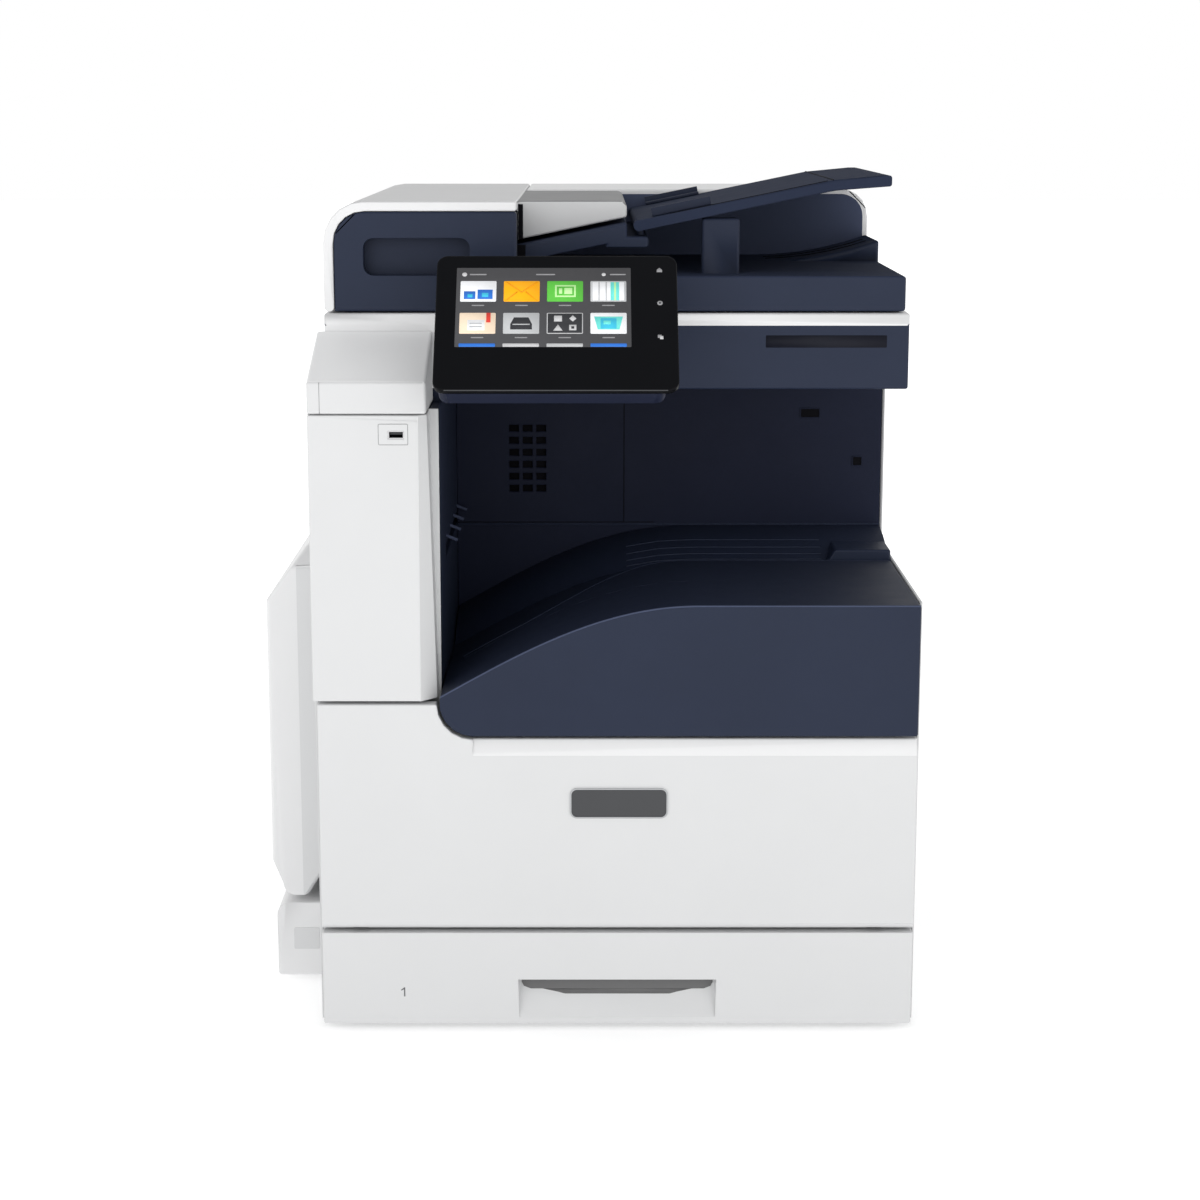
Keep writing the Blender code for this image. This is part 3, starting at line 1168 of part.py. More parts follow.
def make_feeder_cover():
    bottom = [(x, z, 0.0) for x, z in arc(FEEDER_AXIS, FEEDER_SHELL / 2, 180.0, 360.0,
                                         2 * CORNER_STEPS)]
    roof = FEEDER_TOP - FEEDER_ROOF
    outline = bottom + [
        (LID_LEFT + FEEDER_SHELL, roof, FEEDER_ROUND - FEEDER_SHELL), (FEEDER_RIGHT, roof, 0.0),
        (FEEDER_RIGHT, FEEDER_TOP, 0.0), (LID_LEFT, FEEDER_TOP, FEEDER_ROUND),
    ]
    shell = prism("Y", rounded(outline), SCANNER_FRONT, LID_REAR)
    right = FEEDER_RIGHT + HOOD_LENGTH
    crown = FEEDER_TOP - HOOD_DROP
    mid_roof = FEEDER_TOP - FEEDER_ROOF / 2
    profile = [
        (FEEDER_RIGHT, table_height(FEEDER_RIGHT) + HOOD_SLOT), (right, table_height(right) + HOOD_SLOT),
        (right, crown - HOOD_CORNER), (right - HOOD_CORNER, crown), (FEEDER_RIGHT - OVER, crown),
        (FEEDER_RIGHT - OVER, mid_roof), (FEEDER_RIGHT, mid_roof),
    ]
    hood = prism("Y", profile, SCANNER_FRONT + HOOD_SETBACK, TRAY_BACK)
    # The lower rear corner is rounded so that the lid can swing up past the scanner
    heel = (LID_REAR - FEEDER_HEEL_ROUND, LID_BOTTOM + FEEDER_HEEL_ROUND)
    beyond = [(LID_REAR + OVER, heel[1]), (LID_REAR + OVER, LID_BOTTOM - OVER),
              (heel[0], LID_BOTTOM - OVER)]
    swing = arc(heel, FEEDER_HEEL_ROUND, 270.0, 360.0, CORNER_STEPS)
    corner = prism("X", swing + beyond, LID_LEFT - OVER, SHELL_INNER)
    cover = FEEDER_HINGE.leaf(cut(shell, corner), FEEDER_SHELL, FEEDER_SHELL)
    node("feeder_cover", union(cover, hood), "white_plastic", (FEEDER_AXIS[0], 0.0, FEEDER_AXIS[1]))
    profile = [(FEED_SHAFT, FEED_SPAN[0] - FEED_SEAT + SEAT), (FEED_SHAFT, FEED_SPAN[0] + FEED_SEAT),
               (FEED_ROLLER_RADIUS, FEED_SPAN[0] + FEED_SEAT),
               (FEED_ROLLER_RADIUS, FEED_SPAN[1] - FEED_SEAT), (FEED_SHAFT, FEED_SPAN[1] - FEED_SEAT),
               (FEED_SHAFT, FEED_SPAN[1] + FEED_SEAT - SEAT)]
    node("feed_roller", turned("Y", (FEED_X, FEED_Z), profile), "rubber", (FEED_X, 0.0, FEED_Z))


def make_document_tray():
    half = DOC_TRAY_THICK / 2
    run = TRAY_AXIS + TRAY_UP * DOC_TRAY_RUN
    end = run.x + DOC_FLAP_RUN
    first = math.degrees(math.atan(TABLE_SLOPE)) + 90.0
    nose = [(x, z, 0.0) for x, z in arc(TRAY_AXIS, half, first, first + 180.0, 2 * CORNER_STEPS)]
    low, high = run - TRAY_OUT * half, run + TRAY_OUT * half
    outline = nose + [(low.x, low.y, 0.0), (end, HEIGHT - DOC_TRAY_THICK, half / 2),
                      (end, HEIGHT, half / 2), (end - DOC_TRAY_THICK, HEIGHT, 0.0),
                      (high.x, high.y, 0.0)]
    slab = prism("Y", rounded(outline), TRAY_FRONT, TRAY_BACK)
    tray = TRAY_HINGE.leaf(slab, DOC_TRAY_THICK, DOC_TRAY_THICK)
    node("document_tray", tray, "navy_plastic", (TRAY_AXIS.x, 0.0, TRAY_AXIS.y))
    middle = (TRAY_FRONT + TRAY_BACK) / 2
    half_depth = (TRAY_BACK - TRAY_FRONT) / 2
    start, stop = DOC_GUIDE_OFFSET, DOC_GUIDE_OFFSET + DOC_GUIDE_LENGTH

    def strip(height):
        seat = half + SEAT
        return [tuple(TRAY_AXIS + TRAY_UP * along + TRAY_OUT * (seat + up))
                for along, up in ((start, 0.0), (stop, 0.0), (stop, height), (start, height))]

    for name, way in (("document_guide_front", -1.0), ("document_guide_rear", 1.0)):
        inner = middle + way * (half_depth - DOC_GUIDE_INSET)
        wall = prism("Y", strip(DOC_GUIDE_HEIGHT), inner, inner + way * DOC_GUIDE_WALL)
        foot = prism("Y", strip(DOC_GUIDE_WALL), inner - way * DOC_GUIDE_FOOT,
                     inner + way * DOC_GUIDE_WALL / 2)
        node(name, union(wall, foot), "navy_plastic", (TRAY_AXIS.x + start, inner, TRAY_AXIS.y))


# Control panel
PANEL_UP = Vector((math.sin(PANEL_TILT), math.cos(PANEL_TILT)))
PANEL_OUT = Vector((-PANEL_UP.y, PANEL_UP.x))
PANEL_FOOT = Vector((NOSE, SCANNER_BOTTOM + PANEL_LIFT))
PANEL_AXIS = PANEL_FOOT + PANEL_UP * PANEL_AXIS_UP - PANEL_OUT * PANEL_AXIS_BACK


def make_control_panel():
    half = PANEL_WIDTH / 2
    face = rounded([(-half, 0.0, PANEL_ROUND), (half, 0.0, PANEL_ROUND),
                    (half, PANEL_LENGTH, PANEL_ROUND), (-half, PANEL_LENGTH, PANEL_ROUND)])
    slab = prism("Z", face, -PANEL_THICK, 0.0)
    lean = Matrix((
        (1.0, 0.0, 0.0, PANEL_OFFSET),
        (0.0, PANEL_UP.x, PANEL_OUT.x, PANEL_FOOT.x),
        (0.0, PANEL_UP.y, PANEL_OUT.y, PANEL_FOOT.y),
        (0.0, 0.0, 0.0, 1.0),
    ))
    slab.transform(lean)
    bite = PANEL_AXIS_BACK - PANEL_THICK + OVER
    first = math.degrees(math.atan2(-PANEL_UP.y, -PANEL_UP.x))
    lug = [tuple(PANEL_AXIS + PANEL_OUT * bite - PANEL_UP * ARM_RADIUS)]
    lug += arc(PANEL_AXIS, ARM_RADIUS, first, first + 180.0, ROUND_SIDES // 2)
    lug.append(tuple(PANEL_AXIS + PANEL_OUT * bite + PANEL_UP * ARM_RADIUS))
    inner = ARM_WIDTH / 2 + EAR_SIDE_GAP
    lugs = []
    for start in (PANEL_OFFSET - inner - LUG_WIDTH, PANEL_OFFSET + inner):
        lugs.append(prism("X", lug, start, start + LUG_WIDTH))
    reach = inner + LUG_WIDTH / 2
    pin = rod("X", PANEL_AXIS, PANEL_PIN, PANEL_OFFSET - reach, PANEL_OFFSET + reach)
    node("control_panel", union(slab, *lugs, pin), "black_gloss", (PANEL_OFFSET, *PANEL_AXIS))


def make_panel_bracket():
    back = SCANNER_FRONT - SEAT
    nose = arc(PANEL_AXIS, ARM_RADIUS, 90.0, 270.0, ROUND_SIDES // 2)
    outline = nose + [(back, PANEL_AXIS.y - ARM_RADIUS), (back, PANEL_AXIS.y + ARM_RADIUS)]
    half = ARM_WIDTH / 2
    arm = prism("X", outline, PANEL_OFFSET - half, PANEL_OFFSET + half)
    bore = rod("X", PANEL_AXIS, PANEL_PIN + SEAT, PANEL_OFFSET - half - OVER, PANEL_OFFSET + half + OVER)
    wide = half + LUG_WIDTH
    plate = block((PANEL_OFFSET - wide, PANEL_OFFSET + wide), (back - BRACKET_PLATE, back),
                  (SCANNER_BOTTOM + BRACKET_PLATE, SCANNER_TOP - 2 * BRACKET_PLATE))
    node("panel_bracket", union(cut(arm, bore), plate), "navy_plastic")


make_base_frame()
make_feet()
make_front_plate()
make_rear_plate()
make_left_cover()
make_right_cover()
make_rear_cover()
make_power_inlet()
make_tower_cover()
make_tower_cap()
make_output_tray()
make_bay_rear_wall()
make_exit_housing()
make_front_door()
make_drawer_box()
make_drawer_front()
make_lift_plate()
make_paper_guides()
make_side_door()
make_bypass_tray()
make_lower_side_cover()
make_print_engine()
make_power_switch()
make_control_board()
make_scanner()
make_lid_base()
make_lid_hinges()
make_feeder_cover()
make_document_tray()
make_control_panel()
make_panel_bracket()
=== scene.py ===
import json
import math

import bmesh
import bpy
from mathutils import Matrix, Vector
from mathutils.bvhtree import BVHTree

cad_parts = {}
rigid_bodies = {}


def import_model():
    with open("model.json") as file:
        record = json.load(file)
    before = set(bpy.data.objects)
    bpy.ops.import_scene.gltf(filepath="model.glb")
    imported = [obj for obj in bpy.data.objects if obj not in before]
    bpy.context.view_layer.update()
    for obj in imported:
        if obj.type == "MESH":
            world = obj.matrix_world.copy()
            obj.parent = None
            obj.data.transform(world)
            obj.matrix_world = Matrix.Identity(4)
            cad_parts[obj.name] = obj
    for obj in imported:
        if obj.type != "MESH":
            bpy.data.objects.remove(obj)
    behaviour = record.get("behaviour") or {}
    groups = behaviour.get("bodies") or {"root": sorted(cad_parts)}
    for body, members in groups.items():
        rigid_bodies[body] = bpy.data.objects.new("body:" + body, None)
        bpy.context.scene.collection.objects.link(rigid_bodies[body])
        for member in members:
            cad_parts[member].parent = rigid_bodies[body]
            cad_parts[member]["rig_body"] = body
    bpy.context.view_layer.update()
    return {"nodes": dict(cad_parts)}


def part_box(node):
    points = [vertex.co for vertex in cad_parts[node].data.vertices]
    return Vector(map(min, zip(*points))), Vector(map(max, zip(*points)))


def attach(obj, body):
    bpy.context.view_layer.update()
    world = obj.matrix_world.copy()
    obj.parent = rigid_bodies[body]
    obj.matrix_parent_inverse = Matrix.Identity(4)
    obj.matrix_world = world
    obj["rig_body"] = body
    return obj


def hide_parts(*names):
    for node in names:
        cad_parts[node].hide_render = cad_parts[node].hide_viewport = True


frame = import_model()
nodes = frame["nodes"]
print("frame loaded:", len(nodes), "nodes")


# nodes of trees, and objects
def setNode(tree, node, links=(), values=()):
    for label, value in dict(values).items():
        node.inputs[label].default_value = value
    for label, source in dict(links).items():
        tree.links.new(source, node.inputs[label])
    return node


def addNode(tree, kind, links=(), values=(), **settings):
    # a node with its settings, the sockets that feed it and the values of the others
    node = tree.nodes.new(kind)
    for label, value in settings.items():
        setattr(node, label, value)
    return setNode(tree, node, links, values)


def placeObject(name, data):
    item = bpy.data.objects.new(name, data)
    bpy.context.scene.collection.objects.link(item)
    return item


# surface effects that the finishes share
effects = {"grainScale": 1400.0, "grainDetail": 3.0, "grainRough": 0.6, "pitShare": 0.5, "cloudScale": 9.0,
           "cloudDetail": 5.0, "cloudRough": 0.62, "cloudMiddle": 0.5, "streakAlong": 6.0, "streakAcross": 500.0,
           "streakDetail": 2.0}


def newGroup(name, output, **inputs):
    group = bpy.data.node_groups.new(name, "ShaderNodeTree")
    for label, value in inputs.items():
        group.interface.new_socket(label, in_out="INPUT", socket_type="NodeSocketFloat").default_value = value
    group.interface.new_socket(output, in_out="OUTPUT", socket_type="NodeSocketFloat")
    coords = addNode(group, "ShaderNodeTexCoord").outputs["Object"]
    return group, coords, addNode(group, "NodeGroupInput").outputs


def makeMouldedGrain():
    # the fine pitted texture of an etched mould
    group, coords, given = newGroup("mouldedGrain", "Height", Scale=effects["grainScale"])
    feed = {"Vector": coords, "Scale": given["Scale"]}
    fine = addNode(group, "ShaderNodeTexNoise", feed,
                   {"Detail": effects["grainDetail"], "Roughness": effects["grainRough"]})
    pits = addNode(group, "ShaderNodeTexVoronoi", feed)
    mix = addNode(group, "ShaderNodeMath", {0: pits.outputs["Distance"], 2: fine.outputs["Fac"]},
                  {1: effects["pitShare"]}, operation="MULTIPLY_ADD")
    addNode(group, "NodeGroupOutput", {"Height": mix.outputs[0]})
    return group


def makeHandling():
    # soft cloudy change from handling and light dust, from 0 to 1
    group, coords, given = newGroup("handling", "Mask", Scale=effects["cloudScale"], Contrast=1.0)
    cloud = addNode(group, "ShaderNodeTexNoise", {"Vector": coords, "Scale": given["Scale"]},
                    {"Detail": effects["cloudDetail"], "Roughness": effects["cloudRough"]})
    shift = addNode(group, "ShaderNodeMath", {0: cloud.outputs["Fac"]}, {1: effects["cloudMiddle"]},
                    operation="SUBTRACT")
    gain = addNode(group, "ShaderNodeMath", {0: shift.outputs[0], 1: given["Contrast"]},
                   {2: effects["cloudMiddle"]}, operation="MULTIPLY_ADD", use_clamp=True)
    addNode(group, "NodeGroupOutput", {"Mask": gain.outputs[0]})
    return group


def makeScuffs():
    # thin stretched streaks, as on brushed sheet or a wiped glass
    group, coords, given = newGroup("scuffs", "Mask", Along=effects["streakAlong"], Across=effects["streakAcross"])
    stretch = addNode(group, "ShaderNodeCombineXYZ",
                      {"X": given["Along"], "Y": given["Across"], "Z": given["Across"]})
    scaled = addNode(group, "ShaderNodeVectorMath", {0: coords, 1: stretch.outputs[0]}, operation="MULTIPLY")
    streak = addNode(group, "ShaderNodeTexNoise", {"Vector": scaled.outputs[0]},
                     {"Scale": 1.0, "Detail": effects["streakDetail"]})
    addNode(group, "NodeGroupOutput", {"Mask": streak.outputs["Fac"]})
    return group


mouldedGrain, handling, scuffs = makeMouldedGrain(), makeHandling(), makeScuffs()
# what a finish has unless it says otherwise
plainLook = {"spread": 0.06, "brighter": 0.6, "cloudScale": 9.0, "contrast": 1.6, "rough": 0.45, "sway": 0.06,
             "glossScale": 3.1, "glossContrast": 1.2, "depth": 0.12, "bumpHeight": 0.0004, "metal": 0.0,
             "specular": 0.5, "clearIor": 1.45, "coatRough": 0.03}


def useGroup(tree, group, **values):
    return addNode(tree, "ShaderNodeGroup", values=values, node_tree=group).outputs[0]


def makeFinish(name, **changes):
    look = {**plainLook, **changes}
    material = bpy.data.materials.new(name)
    material.use_nodes = True
    tree = material.node_tree
    colour, spread = Vector(look["colour"]), look["spread"]
    clouds = useGroup(tree, handling, Scale=look["cloudScale"], Contrast=look["contrast"])
    ramp = addNode(tree, "ShaderNodeMix", {"Factor": clouds},
                   {"A": (*(colour * (1 - spread)), 1.0), "B": (*(colour * (1 + spread * look["brighter"])), 1.0)},
                   data_type="RGBA").outputs["Result"]
    if "streaks" in look:
        along, across = look["streaks"]
        source = useGroup(tree, scuffs, Along=along, Across=across)
    else:
        source = useGroup(tree, handling, Scale=look["cloudScale"] * look["glossScale"],
                          Contrast=look["glossContrast"])
    gloss = addNode(tree, "ShaderNodeMapRange", {"Value": source},
                    {"To Min": look["rough"] - look["sway"], "To Max": look["rough"] + look["sway"]})
    links = {"Base Color": ramp, "Roughness": gloss.outputs["Result"]}
    values = {"Metallic": look["metal"], "Specular IOR Level": look["specular"]}
    if "grain" in look:
        grain = useGroup(tree, mouldedGrain, Scale=look["grain"])
        bump = addNode(tree, "ShaderNodeBump", {"Height": grain},
                       {"Strength": look["depth"], "Distance": look["bumpHeight"]})
        links["Normal"] = bump.outputs["Normal"]
    if "glow" in look:
        links["Emission Color"] = ramp
        values["Emission Strength"] = look["glow"]
    if "clear" in look:
        values.update({"Transmission Weight": look["clear"], "IOR": look["clearIor"]})
    if "coat" in look:
        values.update({"Coat Weight": look["coat"], "Coat Roughness": look["coatRough"]})
    setNode(tree, tree.nodes["Principled BSDF"], links, values)
    return material


def moulded(colour, spread, rough, grain, depth=plainLook["depth"], **more):
    return dict(colour=colour, spread=spread, rough=rough, grain=grain, depth=depth, **more)


finishes = {
    "shellWhite": moulded((0.635, 0.64, 0.645), 0.02, 0.47, 1500.0, 0.10),
    # a lighter white: the own colour of the scanner band and other white parts, and painted light on the front door's
    # slope, the side door and the lower side cover
    "rimWhite": moulded((0.74, 0.742, 0.747), 0.02, 0.40, 1800.0, 0.06),
    # a lighter white for the cap's top faces: a painted highlight
    "capTopHighlight": moulded((0.86, 0.865, 0.87), 0.02, 0.50, 1300.0),
    # darker copies for the feeder's and the hood's top faces: painted shade
    "feederTopShade": moulded((0.61, 0.612, 0.617), 0.02, 0.50, 1500.0, 0.10),
    "hoodTopShade": moulded((0.20, 0.202, 0.205), 0.04, 0.55, 1500.0),
    "hoodGrey": moulded((0.58, 0.585, 0.59), 0.04, 0.48, 1500.0),
    "shellNavy": moulded((0.0155, 0.0225, 0.0465), 0.10, 0.46, 1400.0, 0.14, specular=0.2),
    # a darker navy: painted shade on the output bay's walls and the panel's house
    "bayNavy": moulded((0.0095, 0.0130, 0.0310), 0.12, 0.52, 1100.0, 0.16, specular=0.12),
    "trayNavy": moulded((0.0155, 0.0215, 0.0430), 0.12, 0.56, 1200.0, 0.16, specular=0.2),
    "matteNavy": moulded((0.024, 0.031, 0.056), 0.10, 0.80, 1400.0, 0.14, specular=0.04),
    # a near-black navy: painted shade standing in for a recess
    "recessNavy": moulded((0.008, 0.009, 0.016), 0.12, 0.50, 1400.0, 0.10, specular=0.15),
    # a paler navy: painted light on the lid's block panel and a painted highlight on the tray's front edge; the exit
    # fingers' own colour
    "blockNavy": moulded((0.066, 0.080, 0.132), 0.10, 0.70, 1400.0, 0.14, specular=0.05),
    "softBlack": moulded((0.018, 0.019, 0.022), 0.15, 0.55, 1100.0, 0.16),
    "gapBlack": moulded((0.006, 0.006, 0.008), 0.20, 0.80, 900.0, specular=0.05),
    "footRubber": moulded((0.018, 0.018, 0.018), 0.20, 0.85, 700.0, 0.30),
    "rollerRubber": moulded((0.030, 0.029, 0.029), 0.25, 0.80, 900.0, 0.25, cloudScale=40.0),
    "padWhite": moulded((0.82, 0.82, 0.80), 0.04, 0.82, 500.0, 0.25),
    "boardGreen": moulded((0.020, 0.12, 0.05), 0.25, 0.50, 600.0, cloudScale=50.0),
    "tonerBlack": moulded((0.022, 0.022, 0.024), 0.12, 0.52, 1200.0),
    "tonerCyan": moulded((0.02, 0.26, 0.50), 0.10, 0.50, 1200.0),
    "tonerMagenta": moulded((0.48, 0.035, 0.20), 0.10, 0.50, 1200.0),
    "tonerYellow": moulded((0.72, 0.53, 0.03), 0.10, 0.50, 1200.0),
    "plateGrey": moulded((0.038, 0.040, 0.044), 0.10, 0.34, 1800.0, 0.05),
    # a mid grey: painted shade in the drawer grip's slot, and the platen border's own colour
    "slotGrey": moulded((0.125, 0.125, 0.126), 0.06, 0.60, 1300.0),
    "panelBlack": dict(colour=(0.0045, 0.0048, 0.006), spread=0.20, rough=0.22, sway=0.05, streaks=(12.0, 60.0),
                       specular=0.05),
    "zincSheet": dict(colour=(0.56, 0.57, 0.58), spread=0.12, rough=0.36, sway=0.09, metal=1.0, cloudScale=60.0,
                      streaks=(9.0, 420.0)),
    "groundSteel": dict(colour=(0.62, 0.62, 0.63), spread=0.08, rough=0.24, sway=0.07, metal=1.0,
                        streaks=(300.0, 40.0)),
    "plateRim": dict(colour=(0.42, 0.43, 0.44), spread=0.06, rough=0.30, sway=0.05, metal=0.6),
    "clearGlass": dict(colour=(0.80, 0.86, 0.84), spread=0.03, rough=0.05, sway=0.03, clear=0.9, streaks=(5.0, 30.0)),
    "beltFilm": dict(colour=(0.011, 0.011, 0.013), spread=0.20, rough=0.24, sway=0.07, streaks=(4.0, 90.0)),
    "drumGreen": dict(colour=(0.045, 0.15, 0.135), spread=0.10, rough=0.18, sway=0.05, streaks=(90.0, 6.0), coat=0.4),
    "printGrey": dict(colour=(0.16, 0.165, 0.17), spread=0.08, rough=0.55, cloudScale=80.0),
}
screenColours = {
    "screenGrey": (0.060, 0.060, 0.064), "tileWhite": (0.80, 0.81, 0.83), "tileBlue": (0.030, 0.16, 0.58),
    "tileOrange": (0.93, 0.40, 0.006), "tileAmber": (0.80, 0.30, 0.004), "tileGreen": (0.10, 0.47, 0.055),
    "tileMint": (0.50, 0.82, 0.36), "tileTeal": (0.15, 0.68, 0.62), "tileCyan": (0.05, 0.47, 0.66),
    "tileCream": (0.82, 0.66, 0.50), "tileRed": (0.60, 0.05, 0.035), "tileSilver": (0.46, 0.47, 0.48),
    "tileDark": (0.035, 0.036, 0.040), "glyphLight": (0.50, 0.50, 0.51), "iconGrey": (0.26, 0.26, 0.27),
}
for label, colour in screenColours.items():
    finishes[label] = dict(colour=colour, spread=0.05, rough=0.35, cloudScale=60.0, specular=0.15, glow=0.30)
palette = {name: makeFinish(name, **look) for name, look in finishes.items()}
print("finishes made:", len(palette))


# a working plane is its origin, the way right and the way up; out is towards the viewer
wayX, wayY, wayZ = Vector((1, 0, 0)), Vector((0, 1, 0)), Vector((0, 0, 1))


def facing(y, right=wayX):
    return Vector((0, y, 0)), right, wayZ


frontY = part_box("drawer_front")[0].y
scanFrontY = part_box("scanner_body")[0].y
frontPlane = facing(frontY)
# a height above the whole part
overhead = 1.0


def planePoint(plane, flat, out):
    origin, right, up = plane
    return origin + right * flat[0] + up * flat[1] + right.cross(up) * out


def within(value, span):
    return span[0] < value < span[1]


def spaced(first, last, parts):
    return [first + (last - first) * step / parts for step in range(parts + 1)]


def roundOutline(corners, steps=6):
    # corners are (across, up, radius); a radius of zero keeps the corner
    outline = []
    for index, (across, up, radius) in enumerate(corners):
        here = Vector((across, up))
        if radius <= 0:
            outline.append((across, up))
            continue
        before = (Vector(corners[index - 1][:2]) - here).normalized()
        after = (Vector(corners[(index + 1) % len(corners)][:2]) - here).normalized()
        half = before.angle(after) / 2
        centre = here + (before + after).normalized() * (radius / math.sin(half))
        start = here + before * (radius / math.tan(half)) - centre
        turn = (math.pi - 2 * half) * (1 if before.cross(after) < 0 else -1)
        for step in range(steps + 1):
            outline.append(tuple(centre + Matrix.Rotation(turn * step / steps, 2) @ start))
    return outline


# a box on a plane is its left, right, low and high
def about(middle, half):
    (across, up), (wide, tall) = middle, half
    return across - wide, across + wide, up - tall, up + tall


def inset(box, wall):
    left, right, low, high = box
    return left + wall, right - wall, low + wall, high - wall


def squareBox(left, right, low, high):
    return [(left, low), (right, low), (right, high), (left, high)]


def roundBox(left, right, low, high, radius, steps=6):
    return roundOutline([(*corner, radius) for corner in squareBox(left, right, low, high)], steps)


def joinLoops(shape, first, second):
    for index in range(len(first)):
        after = (index + 1) % len(first)
        shape.faces.new((first[index], first[after], second[after], second[index]))


def addPrism(shape, outline, plane, near, far):
    # draws an outline out from near to far along the plane's normal
    rings = [[shape.verts.new(planePoint(plane, flat, depth)) for flat in outline] for depth in (near, far)]
    shape.faces.new(rings[0][::-1])
    shape.faces.new(rings[1])
    joinLoops(shape, *rings)
    return shape


def skinRows(rows):
    # a closed skin over rows of points, with a face at each end
    shape = bmesh.new()
    loops = [[shape.verts.new(point) for point in row] for row in rows]
    shape.faces.new(loops[0][::-1])
    shape.faces.new(loops[-1])
    for first, second in zip(loops, loops[1:]):
        joinLoops(shape, first, second)
    bmesh.ops.recalc_face_normals(shape, faces=shape.faces)
    return shape


# how edges are found and rounded; angles are in degrees
soft = {"merge": 0.00002, "flat": 1.0, "sharp": 28.0, "turned": 35.0, "along": 0.99, "leastTurn": 0.2,
        "sharpShare": 0.42, "plainShare": 0.85, "leastEdge": 0.0002, "normalWeight": 80}


def addPiece(name, shape, finish, body, edge=0.0, segments=3, byWeight=False):
    turned = math.radians(soft["turned"])
    weights = shape.edges.layers.float.get("bevel_weight_edge")
    for face in shape.faces:
        face.smooth = True
    for line in shape.edges:
        bent = len(line.link_faces) == 2 and line.calc_face_angle(0.0) > turned
        line.smooth = not bent or bool(weights and line[weights] > 0)
    mesh = bpy.data.meshes.new(name)
    shape.to_mesh(mesh)
    shape.free()
    piece = placeObject(name, mesh)
    for label in [finish] if isinstance(finish, str) else finish:
        mesh.materials.append(palette[label])
    if edge:
        bevel = piece.modifiers.new("edge", "BEVEL")
        bevel.width = edge
        bevel.segments = segments
        bevel.limit_method = "WEIGHT" if byWeight else "ANGLE"
        bevel.angle_limit = turned
        bevel.use_clamp_overlap = not byWeight
        if not byWeight:
            for line in mesh.edges:
                line.use_edge_sharp = False
        shade = piece.modifiers.new("shade", "WEIGHTED_NORMAL")
        shade.weight = soft["normalWeight"]
        shade.keep_sharp = True
    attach(piece, body)
    return piece


def addPlate(name, outline, plane, depth, finish, body, edge=0.0, segments=3):
    # depth is where the plate starts and ends along the plane's normal
    return addPiece(name, addPrism(bmesh.new(), outline, plane, *depth), finish, body, edge, segments)


def addFrame(name, outer, inner, plane, depth, finish, body, edge=0.0):
    # a flat frame between two outlines with the same number of points
    shape = bmesh.new()
    near, far = depth
    loops = [[shape.verts.new(planePoint(plane, flat, out)) for flat in outline]
             for outline, out in ((outer, near), (outer, far), (inner, far), (inner, near))]
    for first, second in zip(loops, loops[1:] + loops[:1]):
        joinLoops(shape, first, second)
    bmesh.ops.recalc_face_normals(shape, faces=shape.faces)
    addPiece(name, shape, finish, body, edge)


def sliceShape(shape, point, normal, **sides):
    everything = shape.verts[:] + shape.edges[:] + shape.faces[:]
    return bmesh.ops.bisect_plane(shape, geom=everything, plane_co=point, plane_no=normal, **sides)["geom_cut"]


def trimShape(shape, point, normal):
    # takes away what lies beyond a plane and closes the cut
    sliceShape(shape, point, normal, clear_outer=True)
    bmesh.ops.holes_fill(shape, edges=[line for line in shape.edges if line.is_boundary], sides=0)


def nodeShape(nodeName, cuts=()):
    # a copy of a CAD node's mesh, merged, split by planes (point, normal) and freed of flat edges
    shape = bmesh.new()
    shape.from_mesh(nodes[nodeName].data)
    bmesh.ops.remove_doubles(shape, verts=shape.verts, dist=soft["merge"])
    for point, normal in cuts:
        for line in sliceShape(shape, point, normal):
            if isinstance(line, bmesh.types.BMEdge):
                line.seam = True
    bmesh.ops.dissolve_limit(shape, angle_limit=math.radians(soft["flat"]), verts=shape.verts, edges=shape.edges,
                             delimit={"SEAM"})
    return shape


def looks(face, way, least=0.5):
    return face.normal.dot(way) > least


def lineMiddle(line):
    return (line.verts[0].co + line.verts[1].co) / 2


def lineWay(line):
    return (line.verts[1].co - line.verts[0].co).normalized()


def isSharp(line):
    return len(line.link_faces) == 2 and line.calc_face_angle(0.0) > math.radians(soft["sharp"])


def roomBeside(line):
    # how wide an edge can be rounded before it meets a neighbour
    room = 1.0
    way = lineWay(line)
    for vert in line.verts:
        for other in vert.link_edges:
            if other is line:
                continue
            across = lineWay(other).cross(way).length
            if across > soft["leastTurn"]:
                share = soft["sharpShare"] if isSharp(other) else soft["plainShare"]
                room = min(room, other.calc_length() * across * share)
    return room


def weighEdges(shape, edge, shortest=0.006, weigh=None):
    # marks the sharp edges that get rounded; weigh may give each its share of the full radius
    layer = shape.edges.layers.float.new("bevel_weight_edge")
    for line in shape.edges:
        if isSharp(line) and line.is_convex and line.calc_length() >= shortest:
            share = min(weigh(line) if weigh else 1.0, roomBeside(line) / edge)
            line[layer] = share if share * edge > soft["leastEdge"] else 0.0


def finishCopy(nodeName, name, shape, edge, finish, paint=None, segments=3):
    # paint gives each face the number of its finish
    if paint:
        for face in shape.faces:
            face.material_index = paint(face)
    piece = addPiece(name, shape, finish, nodes[nodeName]["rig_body"], edge, segments, byWeight=True)
    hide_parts(nodeName)


def softCopy(nodeName, name, edge, finish, shortest=0.006, weigh=None, cuts=(), paint=None, segments=3):
    shape = nodeShape(nodeName, cuts)
    weighEdges(shape, edge, shortest, weigh)
    finishCopy(nodeName, name, shape, edge, finish, paint, segments)


# Geometry Nodes for what repeats
grown = {"barSides": 12, "beadSides": 10, "studTop": 0.78}


